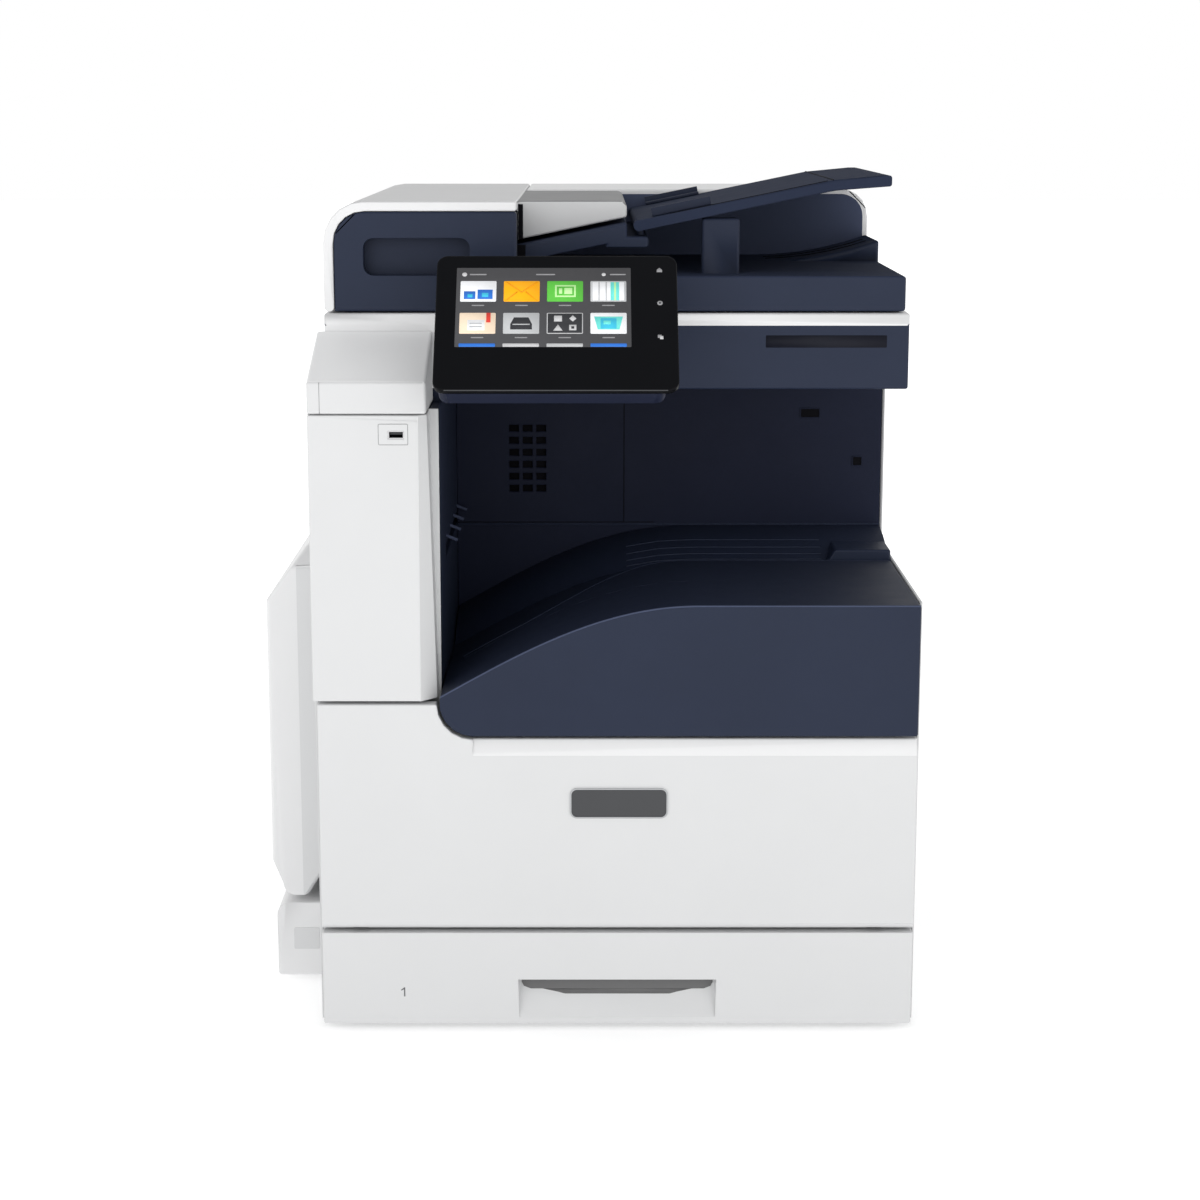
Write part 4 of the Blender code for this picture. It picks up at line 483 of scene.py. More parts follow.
def newTree(name, **inputs):
    tree = bpy.data.node_groups.new(name, "GeometryNodeTree")
    for label, kind in {"Geometry": "Geometry", **inputs, "Material": "Material"}.items():
        tree.interface.new_socket(label, in_out="INPUT", socket_type="NodeSocket" + kind)
    tree.interface.new_socket("Geometry", in_out="OUTPUT", socket_type="NodeSocketGeometry")
    return tree, addNode(tree, "NodeGroupInput").outputs


def closeTree(tree, given, geometry):
    realize = addNode(tree, "GeometryNodeRealizeInstances", {"Geometry": geometry})
    paint = addNode(tree, "GeometryNodeSetMaterial",
                    {"Geometry": realize.outputs["Geometry"], "Material": given["Material"]})
    addNode(tree, "NodeGroupOutput", {"Geometry": paint.outputs["Geometry"]})
    return tree


def addTube(tree, curve, radius, sides):
    ring = addNode(tree, "GeometryNodeCurvePrimitiveCircle", {"Radius": radius}, {"Resolution": sides})
    tube = addNode(tree, "GeometryNodeCurveToMesh", {"Curve": curve, "Profile Curve": ring.outputs["Curve"]},
                   {"Fill Caps": True})
    return tube.outputs["Mesh"]


def makeBarRow():
    # round bars of one length, side by side
    tree, given = newTree("barRow", Count="Int", Start="Vector", Step="Vector", Length="Vector", Radius="Float",
                          Flatten="Vector")
    row = addNode(tree, "GeometryNodeMeshLine",
                  {"Count": given["Count"], "Start Location": given["Start"], "Offset": given["Step"]}, mode="OFFSET")
    rail = addNode(tree, "GeometryNodeCurvePrimitiveLine", {"End": given["Length"]})
    bar = addTube(tree, rail.outputs["Curve"], given["Radius"], grown["barSides"])
    place = addNode(tree, "GeometryNodeInstanceOnPoints",
                    {"Points": row.outputs["Mesh"], "Instance": bar, "Scale": given["Flatten"]})
    return closeTree(tree, given, place.outputs["Instances"])


def makeBead():
    # a half-sunk bead along the lines of the object's own mesh
    tree, given = newTree("bead", Radius="Float")
    path = addNode(tree, "GeometryNodeMeshToCurve", {"Mesh": given["Geometry"]})
    return closeTree(tree, given, addTube(tree, path.outputs["Curve"], given["Radius"], grown["beadSides"]))


def makeStuds():
    # one low cone-sided head on each point of the object's own mesh, turned by one rotation
    tree, given = newTree("studs", Radius="Float", Height="Float", Turn="Rotation", Sides="Int")
    slim = addNode(tree, "ShaderNodeMath", {0: given["Radius"]}, {1: grown["studTop"]}, operation="MULTIPLY")
    head = addNode(tree, "GeometryNodeMeshCone",
                   {"Radius Top": slim.outputs[0], "Radius Bottom": given["Radius"], "Depth": given["Height"],
                    "Vertices": given["Sides"]})
    place = addNode(tree, "GeometryNodeInstanceOnPoints",
                    {"Points": given["Geometry"], "Instance": head.outputs["Mesh"], "Rotation": given["Turn"]})
    return closeTree(tree, given, place.outputs["Instances"])


barRow, bead, studs = makeBarRow(), makeBead(), makeStuds()


def growPiece(name, tree, values, body, points=(), lines=()):
    # runs a tree once on a mesh of points and lines, and keeps the plain result
    seed = bpy.data.meshes.new(name)
    seed.from_pydata([tuple(point) for point in points], list(lines), [])
    piece = placeObject(name, seed)
    modifier = piece.modifiers.new("grow", "NODES")
    modifier.node_group = tree
    sockets = {item.name: item.identifier for item in tree.interface.items_tree
               if item.item_type == "SOCKET" and item.in_out == "INPUT"}
    for label, value in values.items():
        modifier[sockets[label]] = palette[value] if label == "Material" else value
    mesh = bpy.data.meshes.new_from_object(piece.evaluated_get(bpy.context.evaluated_depsgraph_get()))
    piece.modifiers.clear()
    piece.data = mesh
    mesh.shade_smooth()
    mesh.set_sharp_from_angle(angle=math.radians(soft["turned"]))
    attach(piece, body)


def addBeads(name, lines, radius, finish, body):
    # a bead along each line of points
    points, links = [], []
    for line in lines:
        links += [(len(points) + step, len(points) + step + 1) for step in range(len(line) - 1)]
        points += line
    growPiece(name, bead, {"Radius": radius, "Material": finish}, body, points, links)


def surfaceOf(nodeName):
    shape = nodeShape(nodeName)
    surface = BVHTree.FromBMesh(shape)
    shape.free()
    return surface


def pointOn(surface, x, y):
    return surface.ray_cast(Vector((x, y, overhead)), -wayZ)[0]


def surfaceLines(name, nodeName, lines, radius, finish):
    # beads along flat lines (x, y), laid on the node from above
    surface = surfaceOf(nodeName)
    laid = [[pointOn(surface, x, y) for x, y in line] for line in lines]
    addBeads(name, laid, radius, finish, nodes[nodeName]["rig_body"])


print("tools ready")


# white shells
frontDoor = {"edge": 0.0016, "slopeUp": 0.3, "slopeLow": 0.262, "endArea": 8e-5, "plateMiddle": (0.0301, 0.222),
             "plateHalf": (0.045, 0.01435), "plateRound": 0.0065, "plateRim": 0.0014, "rimDepth": (-0.0006, 0.0013),
             "rimEdge": 0.0003, "plateDepth": (-0.0006, 0.0008), "plateEdge": 0.0002}


def makeFrontDoor():
    def paint(face):
        # the slope under the tray and its end get the lighter white, a painted highlight where light falls on them
        onSlope = looks(face, wayZ, frontDoor["slopeUp"]) and looks(face, -wayY)
        atEnd = face.calc_center_median().z > frontDoor["slopeLow"] and face.calc_area() < frontDoor["endArea"]
        return int(onSlope or (looks(face, wayX) and atEnd))

    softCopy("front_door", "frontDoorShell", frontDoor["edge"], ["shellWhite", "rimWhite"], paint=paint)
    rim, radius = frontDoor["plateRim"], frontDoor["plateRound"]
    box = about(frontDoor["plateMiddle"], frontDoor["plateHalf"])
    outer, inner = roundBox(*box, radius, 8), roundBox(*inset(box, rim), radius - rim, 8)
    addFrame("doorPlateRim", outer, inner, frontPlane, frontDoor["rimDepth"], "plateRim", "front_door",
             frontDoor["rimEdge"])
    addPlate("doorPlate", inner, frontPlane, frontDoor["plateDepth"], "plateGrey", "front_door",
             frontDoor["plateEdge"])


# the numeral's outline is in shares of its height
drawer = {"edge": 0.0015,
          "slot": [(-0.052, 0.0384), (0.110, 0.0384), (0.1165, 0.0410), (0.1185, 0.0450), (0.1185, 0.0548),
                   (-0.0605, 0.0548), (-0.0605, 0.0450), (-0.0585, 0.0410)],
          "slotDepth": (-0.0119, -0.0113), "slotEdge": 0.0002,
          "slope": (0.012, 0.024), "slopeDeep": 0.012, "slopeTop": 0.038,
          "slotFoot": [(-0.020, -0.0046), (0.078, -0.0046), (0.084, -0.0030), (0.100, 0.0004), (-0.042, 0.0004),
                       (-0.026, -0.0030)],
          "footDepth": (-0.0004, 0.0003), "numeral": (-0.1701, 0.0392), "numeralHeight": 0.0088,
          "numeralOutline": [(0, -0.5), (0.13, -0.5), (0.13, 0.5), (0.026, 0.5), (-0.30, 0.26), (-0.30, 0.13),
                             (0, 0.30)],
          "numeralDepth": (-0.0001, 0.00015)}


def makeDrawerFront():
    softCopy("drawer_front", "drawerFrontShell", drawer["edge"], "shellWhite")
    # the slot's back wall is painted mid grey: painted shade in the grip
    addPlate("drawerGripShade", drawer["slot"], frontPlane, drawer["slotDepth"], "slotGrey", "drawer",
             drawer["slotEdge"])
    # the lower part of the painted shade lies on the grip's slope
    slope = Vector((0, *drawer["slope"])).normalized()
    foot = (Vector((0, frontY + drawer["slopeDeep"], drawer["slopeTop"])), wayX, slope)
    addPlate("drawerGripShadeFoot", drawer["slotFoot"], foot, drawer["footDepth"], "slotGrey", "drawer")
    (x, z), tall = drawer["numeral"], drawer["numeralHeight"]
    numeral = [(x + tall * across, z + tall * up) for across, up in drawer["numeralOutline"]]
    addPlate("drawerNumeral", numeral, frontPlane, drawer["numeralDepth"], "printGrey", "drawer")


tower = {"edge": 0.0014, "facetTop": -0.1500, "facetBottom": -0.1510, "facetBack": 0.016, "sideTop": -0.1425,
         "facetDepth": (-0.0016, 0.0002), "facetEdge": 0.0005, "stripLeft": -0.1500, "stripLow": 0.3180,
         "frameEdge": 0.0006, "seam": (-0.2376, -0.2372, 0.5812, 0.6092), "seamDepth": (-0.0004, 0.00008)}


def makeTower():
    low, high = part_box("tower_cover")
    first = Vector((tower["facetTop"], frontY, high.z))
    second = Vector((tower["facetBottom"], frontY, low.z))
    third = Vector((high.x, frontY + tower["facetBack"], low.z))
    facet = (second - first).cross(third - first).normalized()
    facet *= 1 if facet.x > 0 else -1
    shape = nodeShape("tower_cover")
    trimShape(shape, first, facet)
    weighEdges(shape, tower["edge"])
    finishCopy("tower_cover", "towerShell", shape, tower["edge"], "shellWhite")
    # the tower is hollow, so a plate closes the facet
    share = (tower["sideTop"] - first.x) / (third.x - second.x)
    corners = [second, third, first + (third - second) * share, first]
    plate = skinRows([[corner + facet * out for corner in corners] for out in tower["facetDepth"]])
    addPiece("towerFacet", plate, "shellWhite", "chassis", tower["facetEdge"])
    stripLeft, stripLow = tower["stripLeft"], tower["stripLow"]

    def paint(face):
        # the edge of the frame plate that shows beside the tower is white
        middle = face.calc_center_median()
        return int(middle.x > stripLeft and middle.z > stripLow)

    softCopy("front_frame_plate", "framePlate", tower["frameEdge"], ["zincSheet", "shellWhite"], paint=paint,
             cuts=[(Vector((stripLeft, 0, 0)), wayX), (Vector((0, 0, stripLow)), wayZ)])
    addPlate("capSeam", squareBox(*tower["seam"]), frontPlane, tower["seamDepth"], "printGrey", "chassis")


port = {"box": (-0.1765, -0.1625, 0.559, 0.566), "gap": 0.0001, "wall": 0.0008, "sleeveDepth": (-0.012, -0.0006),
        "floorDepth": (-0.0125, -0.011), "edge": 0.0002, "tongueSide": 0.0016, "tongueTop": 0.00144,
        "tongueDepth": (-0.011, -0.0025), "print": (-0.1855, -0.1588, 0.5534, 0.5724), "printRound": 0.0012,
        "printLine": 0.0004, "printDepth": (-0.0001, 0.00012)}


def makePort():
    inner = squareBox(*inset(port["box"], port["wall"]))
    addFrame("portSleeve", squareBox(*inset(port["box"], port["gap"])), inner, frontPlane, port["sleeveDepth"],
             "groundSteel", "chassis")
    addPlate("portFloor", inner, frontPlane, port["floorDepth"], "gapBlack", "chassis", port["edge"])
    left, right, low, high = port["box"]
    tongue = squareBox(left + port["tongueSide"], right - port["tongueSide"], (low + high) / 2,
                       high - port["tongueTop"])
    addPlate("portTongue", tongue, frontPlane, port["tongueDepth"], "softBlack", "chassis", port["edge"])
    line, radius = port["printLine"], port["printRound"]
    addFrame("portOutline", roundBox(*port["print"], radius, 3),
             roundBox(*inset(port["print"], line), radius - line, 3), frontPlane, port["printDepth"], "printGrey",
             "chassis")


cap = {"edge": 0.0026, "slopeForward": 0.1, "slopeAbove": 0.03, "facetInset": 0.010, "facetDepth": 0.0009}


def makeCap():
    shape = nodeShape("tower_cap")
    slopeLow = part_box("tower_cap")[0].z + cap["slopeAbove"]
    slope = [face for face in shape.faces if looks(face, wayZ) and looks(face, -wayY, cap["slopeForward"])
             and face.calc_center_median().z > slopeLow]
    weighEdges(shape, cap["edge"])
    bmesh.ops.inset_region(shape, faces=slope, thickness=cap["facetInset"], depth=-cap["facetDepth"])
    # the cap's top faces get the lighter white, a painted highlight
    finishCopy("tower_cap", "towerCapShell", shape, cap["edge"], ["shellWhite", "capTopHighlight"],
               lambda face: int(looks(face, wayZ)))


side = {"edge": 0.018, "segments": 6, "shortest": 0.016, "thin": 0.2, "cornerUp": 0.9, "cornerReach": (0.02, 0.001),
        "topFront": 0.4185, "topSlope": 0.40, "shadeX": -0.2775, "bypassEdge": 0.0016, "bypassShortest": 0.012,
        "lowerEdge": 0.003, "plate": (-0.2878, -0.2627, 0.0356, 0.0575), "plateRound": 0.0015,
        "plateDepth": (-0.0004, 0.0005), "plateEdge": 0.0002, "coverEdge": 0.0016, "coverShortest": 0.02}


def makeSides():
    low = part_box("side_door")[0]
    wide, deep = side["cornerReach"]
    shape = nodeShape("side_door")
    trimShape(shape, Vector((0, low.y, side["topFront"])), Vector((0, -side["topSlope"], 1)).normalized())

    def weigh(line):
        middle = lineMiddle(line)
        isCorner = abs(lineWay(line).z) > side["cornerUp"] and middle.y < low.y + deep and middle.x < low.x + wide
        return 1.0 if isCorner else side["thin"]

    weighEdges(shape, side["edge"], side["shortest"], weigh)
    # the cut at shadeX lets the door's front right keep the darker white, painted shade beside the tower; the rest of
    # the door and the lower side cover get the lighter white, painted light
    sliceShape(shape, Vector((side["shadeX"], 0, 0)), wayX)
    finishCopy("side_door", "sideDoorShell", shape, side["edge"], ["rimWhite", "shellWhite"],
               lambda face: int(looks(face, -wayY) and face.calc_center_median().x > side["shadeX"]),
               side["segments"])
    softCopy("bypass_tray", "bypassShell", side["bypassEdge"], "rimWhite", side["bypassShortest"])
    softCopy("lower_side_cover", "lowerSideShell", side["lowerEdge"], "rimWhite", segments=4)
    addPlate("sidePlate", roundBox(*side["plate"], side["plateRound"], 4), facing(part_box("lower_side_cover")[0].y),
             side["plateDepth"], "shellWhite", "chassis", side["plateEdge"])
    for label in ("left", "right", "rear"):
        softCopy(label + "_cover", label + "Shell", side["coverEdge"], "shellWhite", side["coverShortest"])


makeFrontDoor()
makeDrawerFront()
makeTower()
makePort()
makeCap()
makeSides()
print("white shells made")


# scanner, lid and feeder
scanner = {"edge": 0.0022, "shortest": 0.02, "band": 0.0115, "whiteRight": -0.1345, "frontDeep": 0.001,
           "recess": (0.1663, 0.2783, 0.6307, 0.642), "recessRound": 0.0008, "recessDepth": (-0.0002, 0.0002)}


def makeScanner():
    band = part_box("scanner_body")[1].z - scanner["band"]

    def paint(face):
        middle = face.calc_center_median()
        besidePanel = middle.x < scanner["whiteRight"] and middle.y < scanFrontY + scanner["frontDeep"]
        return int(middle.z > band or besidePanel)

    softCopy("scanner_body", "scannerShell", scanner["edge"], ["shellNavy", "rimWhite"], scanner["shortest"],
             cuts=[(Vector((0, 0, band)), wayZ), (Vector((scanner["whiteRight"], 0, 0)), wayX)], paint=paint)
    # a near-black plate on the scanner's front stands in for a recess: painted shade
    addPlate("recessShadePlate", roundBox(*scanner["recess"], scanner["recessRound"], 3), facing(scanFrontY),
             scanner["recessDepth"], "recessNavy", "chassis")


# the grey hood starts this far from the feeder's left, and the lid's rear block ends there
hoodStart = 0.178
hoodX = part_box("feeder_cover")[0].x + hoodStart
lid = {"edge": 0.0028, "shortest": 0.0015, "rearDeep": 0.02, "tableTop": 0.70, "rim": 0.005, "blockFront": 0.135,
       "blockNear": 0.0005, "blockLow": 0.6945, "blockOver": 0.001, "blockRound": 0.028, "blockGap": 0.002,
       "blockDepth": (-0.0006, 0.0006), "blockEdge": 0.0004, "gripRound": 0.009, "gripSegments": 5,
       "gripX": (-0.2065, -0.1055), "gripZ": (0.6955, 0.7325), "gripDeep": (0.002, 0.02), "gripEdges": (0.010, 0.02),
       "gripShare": 0.25, "postX": (0.105, 0.146), "postBack": -0.143, "backKeep": 0.018, "backTop": 0.005,
       "lipLength": 0.112, "lipY": (0.060, 0.090), "lipParts": 12, "lipRadius": 0.0009}


def inGrip(middle):
    return within(middle.x, lid["gripX"]) and within(middle.z, lid["gripZ"])


def makeLid():
    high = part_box("lid_base")[1]
    gripBack = scanFrontY + lid["gripDeep"][1]

    def paint(face):
        middle = face.calc_center_median()
        aboveTable, onBlock = middle.z > lid["tableTop"], middle.x > hoodX
        if looks(face, wayY) and middle.y > high.y - lid["rearDeep"]:
            return 1
        if onBlock and middle.y > lid["blockFront"] - lid["blockNear"] and aboveTable:
            return 1
        isUpright = looks(face, wayY) or looks(face, -wayY)
        if onBlock and middle.z > lid["blockLow"] + lid["blockOver"] and not isUpright:
            return 3
        # the post and the inside of the grip get the darker tray navy, painted shade
        if within(middle.x, lid["postX"]) and middle.y < lid["postBack"] and aboveTable:
            return 2
        return 2 if inGrip(middle) and within(middle.y - scanFrontY, lid["gripDeep"]) else 0

    def weigh(line):
        middle = lineMiddle(line)
        atBack = middle.y > high.y - lid["backKeep"] and middle.z < high.z - lid["backTop"]
        return 0.0 if atBack else lid["gripShare"] if inGrip(middle) else 1.0

    shape = nodeShape("lid_base", [(Vector((sum(lid["gripX"]) / 2, 0, 0)), wayX)])
    grip = [line for line in shape.edges if abs(lineWay(line).dot(wayY)) > soft["along"]
            and within(line.calc_length(), lid["gripEdges"]) and lineMiddle(line).y < gripBack]
    bmesh.ops.bevel(shape, geom=grip, offset=lid["gripRound"], segments=lid["gripSegments"], affect="EDGES",
                    profile=0.5)
    weighEdges(shape, lid["edge"], lid["shortest"], weigh)
    finishCopy("lid_base", "lidShell", shape, lid["edge"], ["shellNavy", "rimWhite", "trayNavy", "matteNavy"], paint)
    # the block's front panel is a paler navy, painted light against the document tray's shadow
    left, right, top = hoodX + lid["blockGap"], high.x - lid["rim"], high.z - lid["rim"]
    outline = roundOutline([(left, lid["blockLow"], 0), (right, lid["blockLow"], 0),
                            (right, top, lid["blockRound"] - lid["rim"]), (left, top, 0)])
    addPlate("blockPanel", outline, facing(lid["blockFront"]), lid["blockDepth"], "blockNavy", "lid",
             lid["blockEdge"])
    across = spaced(high.x - lid["lipLength"], high.x, lid["lipParts"])[:-1]
    surfaceLines("lipLines", "lid_base", [[(x, y) for x in across] for y in lid["lipY"]], lid["lipRadius"],
                 "gapBlack")


feeder = {"edge": 0.0022, "shortest": 0.003, "hoodCut": 0.0002, "topUp": 0.7, "trayEdge": 0.002,
          "trayShortest": 0.010, "grooveX": (0.078, 0.224), "grooveY": -0.1672, "flapX": 0.229,
          "flapY": (-0.1690, 0.1330), "lineParts": 8, "lineRadius": 0.0006,
          "tableGapShade": (-0.0655, -0.0565, 0.7045, 0.7235), "hoodGapShade": (-0.0638, -0.0592, 0.7275, 0.7600),
          "hoodDeep": 0.050, "gapDepth": (-0.0006, 0.0004), "gapEdge": 0.0002, "guideEdge": 0.0008,
          "guideShortest": 0.004}


def makeFeeder():
    def paint(face):
        onHood = face.calc_center_median().x > hoodX + feeder["hoodCut"] / 2
        # top faces get the darker finishes, painted shade on the feeder's and the hood's tops
        return int(onHood) + 2 * int(looks(face, wayZ, feeder["topUp"]))

    softCopy("feeder_cover", "feederShell", feeder["edge"], ["rimWhite", "hoodGrey", "feederTopShade", "hoodTopShade"],
             feeder["shortest"], cuts=[(Vector((hoodX + feeder["hoodCut"], 0, 0)), wayX)], paint=paint)
    softCopy("document_tray", "documentTrayShell", feeder["trayEdge"], "matteNavy", feeder["trayShortest"])
    lines = [[(x, feeder["grooveY"]) for x in spaced(*feeder["grooveX"], feeder["lineParts"])],
             [(feeder["flapX"], y) for y in spaced(*feeder["flapY"], feeder["lineParts"])]]
    surfaceLines("documentTrayLines", "document_tray", lines, feeder["lineRadius"], "gapBlack")
    # black plates in the gaps between the feeder's front and the table and hood beside it: painted shade
    for name, body, front in (("tableGapShade", "lid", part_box("document_tray")[0].y),
                              ("hoodGapShade", "feeder_cover", scanFrontY + feeder["hoodDeep"])):
        addPlate(name, squareBox(*feeder[name]), facing(front), feeder["gapDepth"], "gapBlack", body,
                 feeder["gapEdge"])
    for label in ("front", "rear"):
        softCopy("document_guide_" + label, "documentGuide" + label.capitalize(), feeder["guideEdge"], "trayNavy",
                 feeder["guideShortest"])


makeScanner()
makeLid()
makeFeeder()
print("scanner, lid and feeder made")


# output bay
bay = {"wallEdge": 0.0006, "exitEdge": 0.0012, "exitShortest": 0.008, "wallY": 0.040, "seamX": 0.0386,
       "seamLow": 0.4265, "seamHalf": 0.00045, "seamAcross": (-0.1335, 0.070), "seamDepth": (-0.0006, 0.0001),
       "ledge": 0.0011, "screen": (-0.100, -0.030, 0.435, 0.560), "screenDepth": (-0.0028, -0.0022),
       "latch": (0.2741, 0.2847, 0.4852, 0.4956), "hatch": (0.2196, 0.2403, 0.5351, 0.5454), "frameRound": 0.0012,
       "frameWall": 0.001, "floorRound": 0.0006, "frameDepth": (-0.0005, 0.0010), "frameEdge": 0.0003,
       "floorDepth": (-0.0005, 0.0003), "floorEdge": 0.0001}
fingers = {"Count": 6, "Radius": 0.0016, "Start": (-0.1348, -0.150, 0.4455), "Step": (0, 0.060, 0),
           "Flatten": (1, 1, 1), "Length": (0.011, 0, -0.0045), "Material": "blockNavy"}


def makeBayWall():
    # the bay's wall and the latch and hatch frames get the darker navy, painted shade
    softCopy("bay_rear_wall", "bayWall", bay["wallEdge"], "bayNavy")
    softCopy("exit_housing", "exitWall", bay["exitEdge"], "trayNavy", bay["exitShortest"])
    plane, high = facing(bay["wallY"]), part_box("bay_rear_wall")[1]
    half, x, z, (near, far) = bay["seamHalf"], bay["seamX"], bay["seamLow"], bay["seamDepth"]
    seams = addPrism(bmesh.new(), squareBox(x - half, x + half, z, high.z), plane, near, far)
    # the level seam is lower, so that the two don't share a face
    addPrism(seams, squareBox(*bay["seamAcross"], z - half, z + half), plane, near, far / 2)
    addPiece("wallSeams", seams, "gapBlack", "chassis")
    ledge = [(end, bay["wallY"], z - 2 * bay["ledge"]) for end in (bay["seamAcross"][0], high.x)]
    addBeads("wallLedge", [ledge], bay["ledge"], "shellNavy", "chassis")
    addPlate("ventScreen", squareBox(*bay["screen"]), plane, bay["screenDepth"], "gapBlack", "chassis")
    for name in ("latch", "hatch"):
        outer = roundBox(*bay[name], bay["frameRound"], 4)
        inner = roundBox(*inset(bay[name], bay["frameWall"]), bay["floorRound"], 4)
        addFrame(name + "Frame", outer, inner, plane, bay["frameDepth"], "bayNavy", "chassis", bay["frameEdge"])
        addPlate(name + "Floor", inner, plane, bay["floorDepth"], "gapBlack", "chassis", bay["floorEdge"])
    growPiece("exitFingers", barRow, fingers, "chassis")


tray = {"bedEdge": 0.002, "shortest": 0.004, "faceForward": 0.9, "rimFront": 0.01, "edge": 0.0022, "parts": 40,
        "rimY": -0.180, "left": -0.1335, "ramp": 0.235, "high": 0.407, "fall": 0.085, "frontX": (-0.1330, 0.3030),
        "frontY": -0.2990, "frontDrop": 0.0007, "frontRadius": 0.0009, "apronX": (-0.118, 0.3030),
        "apronBack": (-0.166, -0.072), "apronBend": (-0.070, 0.085), "apronDeep": 0.0056, "apronLap": 0.0004,
        "apronDrop": 0.0001, "roundBehind": 0.001, "roundBelow": 0.002, "lineRadius": 0.0010,
        "rampX": (-0.1325, 0.3030), "rampY": (-0.060, 0.0392), "rampRise": 0.0215, "rampParts": 10,
        "rampFoot": 0.0006, "ridgeX": (0.040, 0.236), "ridgeY": (-0.054, -0.044, -0.031, -0.014), "ridgeParts": 12,
        "ridgeRadius": 0.0009, "stopX": (0.2385, 0.3032), "stopY": (-0.067, -0.017), "stopSunk": 0.0052,
        "stopHigh": 0.0095, "stopSlant": 0.009}


def rimHeight(x):
    share = min(max((x - tray["left"]) / tray["ramp"], 0.0), 1.0)
    return tray["high"] - tray["fall"] * (1.0 - math.sin(share * math.pi / 2))


def apronEdge(x):
    # the raised front part of the tray is narrow on the left and sweeps back to its full depth
    first, last = tray["apronBend"]
    share = min(max((x - first) / (last - first), 0.0), 1.0)
    near, far = tray["apronBack"]
    return near + (far - near) * share * share * (3 - 2 * share)


def makeApron():
    rows, front = [], tray["rimY"] - tray["apronLap"]
    for x in spaced(*tray["apronX"], tray["parts"]):
        top, behind = rimHeight(x) - tray["apronDrop"], apronEdge(x)
        low = top - tray["apronDeep"]
        rows.append([(x, front, low), (x, behind, low), (x, behind, top), (x, front, top)])

    def weigh(line):
        middle = lineMiddle(line)
        isBehind = middle.y > tray["rimY"] + tray["roundBehind"]
        return float(isBehind and middle.z > rimHeight(middle.x) - tray["roundBelow"])

    shape = skinRows(rows)
    weighEdges(shape, tray["edge"], tray["shortest"], weigh)
    addPiece("trayApron", shape, "trayNavy", "chassis", tray["edge"], byWeight=True)


def makeRamp():
    # the rear of the tray rises to the wall
    surface = surfaceOf("output_tray")
    front, back = tray["rampY"]

    def rampPoint(x, y):
        share = (y - front) / (back - front)
        bedHeight = pointOn(surface, x, (front + back) / 2).z
        return Vector((x, y, bedHeight + tray["rampRise"] * share * (2 - share)))

    rows = []
    for x in spaced(*tray["rampX"], tray["parts"]):
        foot = rampPoint(x, front).z - tray["rampFoot"]
        rows.append([(x, back, foot), (x, front, foot),
                     *(rampPoint(x, y) for y in spaced(front, back, tray["rampParts"]))])
    addPiece("trayRamp", skinRows(rows), "trayNavy", "chassis")
    across = spaced(*tray["ridgeX"], tray["ridgeParts"])
    addBeads("trayRidges", [[rampPoint(x, y) for x in across] for y in tray["ridgeY"]], tray["ridgeRadius"],
             "shellNavy", "chassis")


def makeTray():
    softCopy("output_tray", "outputTrayShell", tray["bedEdge"], ["trayNavy", "shellNavy"], tray["shortest"],
             weigh=lambda line: float(lineMiddle(line).y < tray["rimY"] - tray["rimFront"]),
             paint=lambda face: int(looks(face, -wayY, tray["faceForward"])))
    makeApron()
    edge = tray["edge"]
    # a paler bead along the apron's back edge is a painted highlight
    line = [(x, apronEdge(x) - edge / 2, rimHeight(x) - edge / 4) for x in spaced(*tray["apronX"], tray["parts"])]
    addBeads("apronHighlight", [line], tray["lineRadius"], "shellNavy", "chassis")
    # a paler bead along the fascia's top edge is a painted highlight
    line = [(x, tray["frontY"], rimHeight(x) - tray["frontDrop"]) for x in spaced(*tray["frontX"], tray["parts"])]
    addBeads("trayFrontHighlight", [line], tray["frontRadius"], "blockNavy", "chassis")
    makeRamp()
    (left, right), (front, back) = tray["stopX"], tray["stopY"]
    low, top = tray["high"] - tray["stopSunk"], tray["high"] + tray["stopHigh"]
    outline = [(left, low), (right, low), (right, top), (left + tray["stopSlant"], top)]
    addPlate("trayStop", outline, facing(back), (0, back - front), "shellNavy", "chassis", edge, 4)


makeBayWall()
makeTray()
print("output bay made")


# control panel
panel = {"tilt": 42.8, "width": 0.214, "length": 0.149, "thick": 0.020, "round": 0.010, "glass": 0.0065,
         "edge": 0.0016, "shortest": 0.004, "endReach": 0.011, "houseLeft": 0.0045, "houseRight": 0.0115,
         "lineUp": 0.0004, "lineDepth": -0.0010, "lineRadius": 0.0006}


def panelPlane():
    low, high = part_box("control_panel")
    tilt = math.radians(panel["tilt"])
    up = Vector((0, math.sin(tilt), math.cos(tilt)))
    foot = Vector(((low.x + high.x) / 2, low.y, low.z + panel["thick"] * math.sin(tilt)))
    return foot, wayX, up


def makePanel():
    plane = panelPlane()
    half = panel["width"] / 2
    glass = addPlate("panelGlass", roundBox(-half, half, 0, panel["length"], panel["round"], 8), plane,
                     (-panel["glass"], 0), "panelBlack", "control_panel", panel["edge"], 4)
    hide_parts("control_panel")
    # the house behind the glass is a little narrower than the glass
    shape = nodeShape("control_panel")
    trimShape(shape, planePoint(plane, (0, 0), -panel["glass"]), plane[1].cross(plane[2]))
    low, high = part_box("control_panel")
    for vert in shape.verts:
        if vert.co.x < low.x + panel["endReach"]:
            vert.co.x += panel["houseLeft"]
        elif vert.co.x > high.x - panel["endReach"]:
            vert.co.x -= panel["houseRight"]
    weighEdges(shape, panel["edge"], panel["shortest"])
    # the house gets the darker navy, painted shade under the glass
    addPiece("panelHouse", shape, "bayNavy", "control_panel", panel["edge"], byWeight=True)


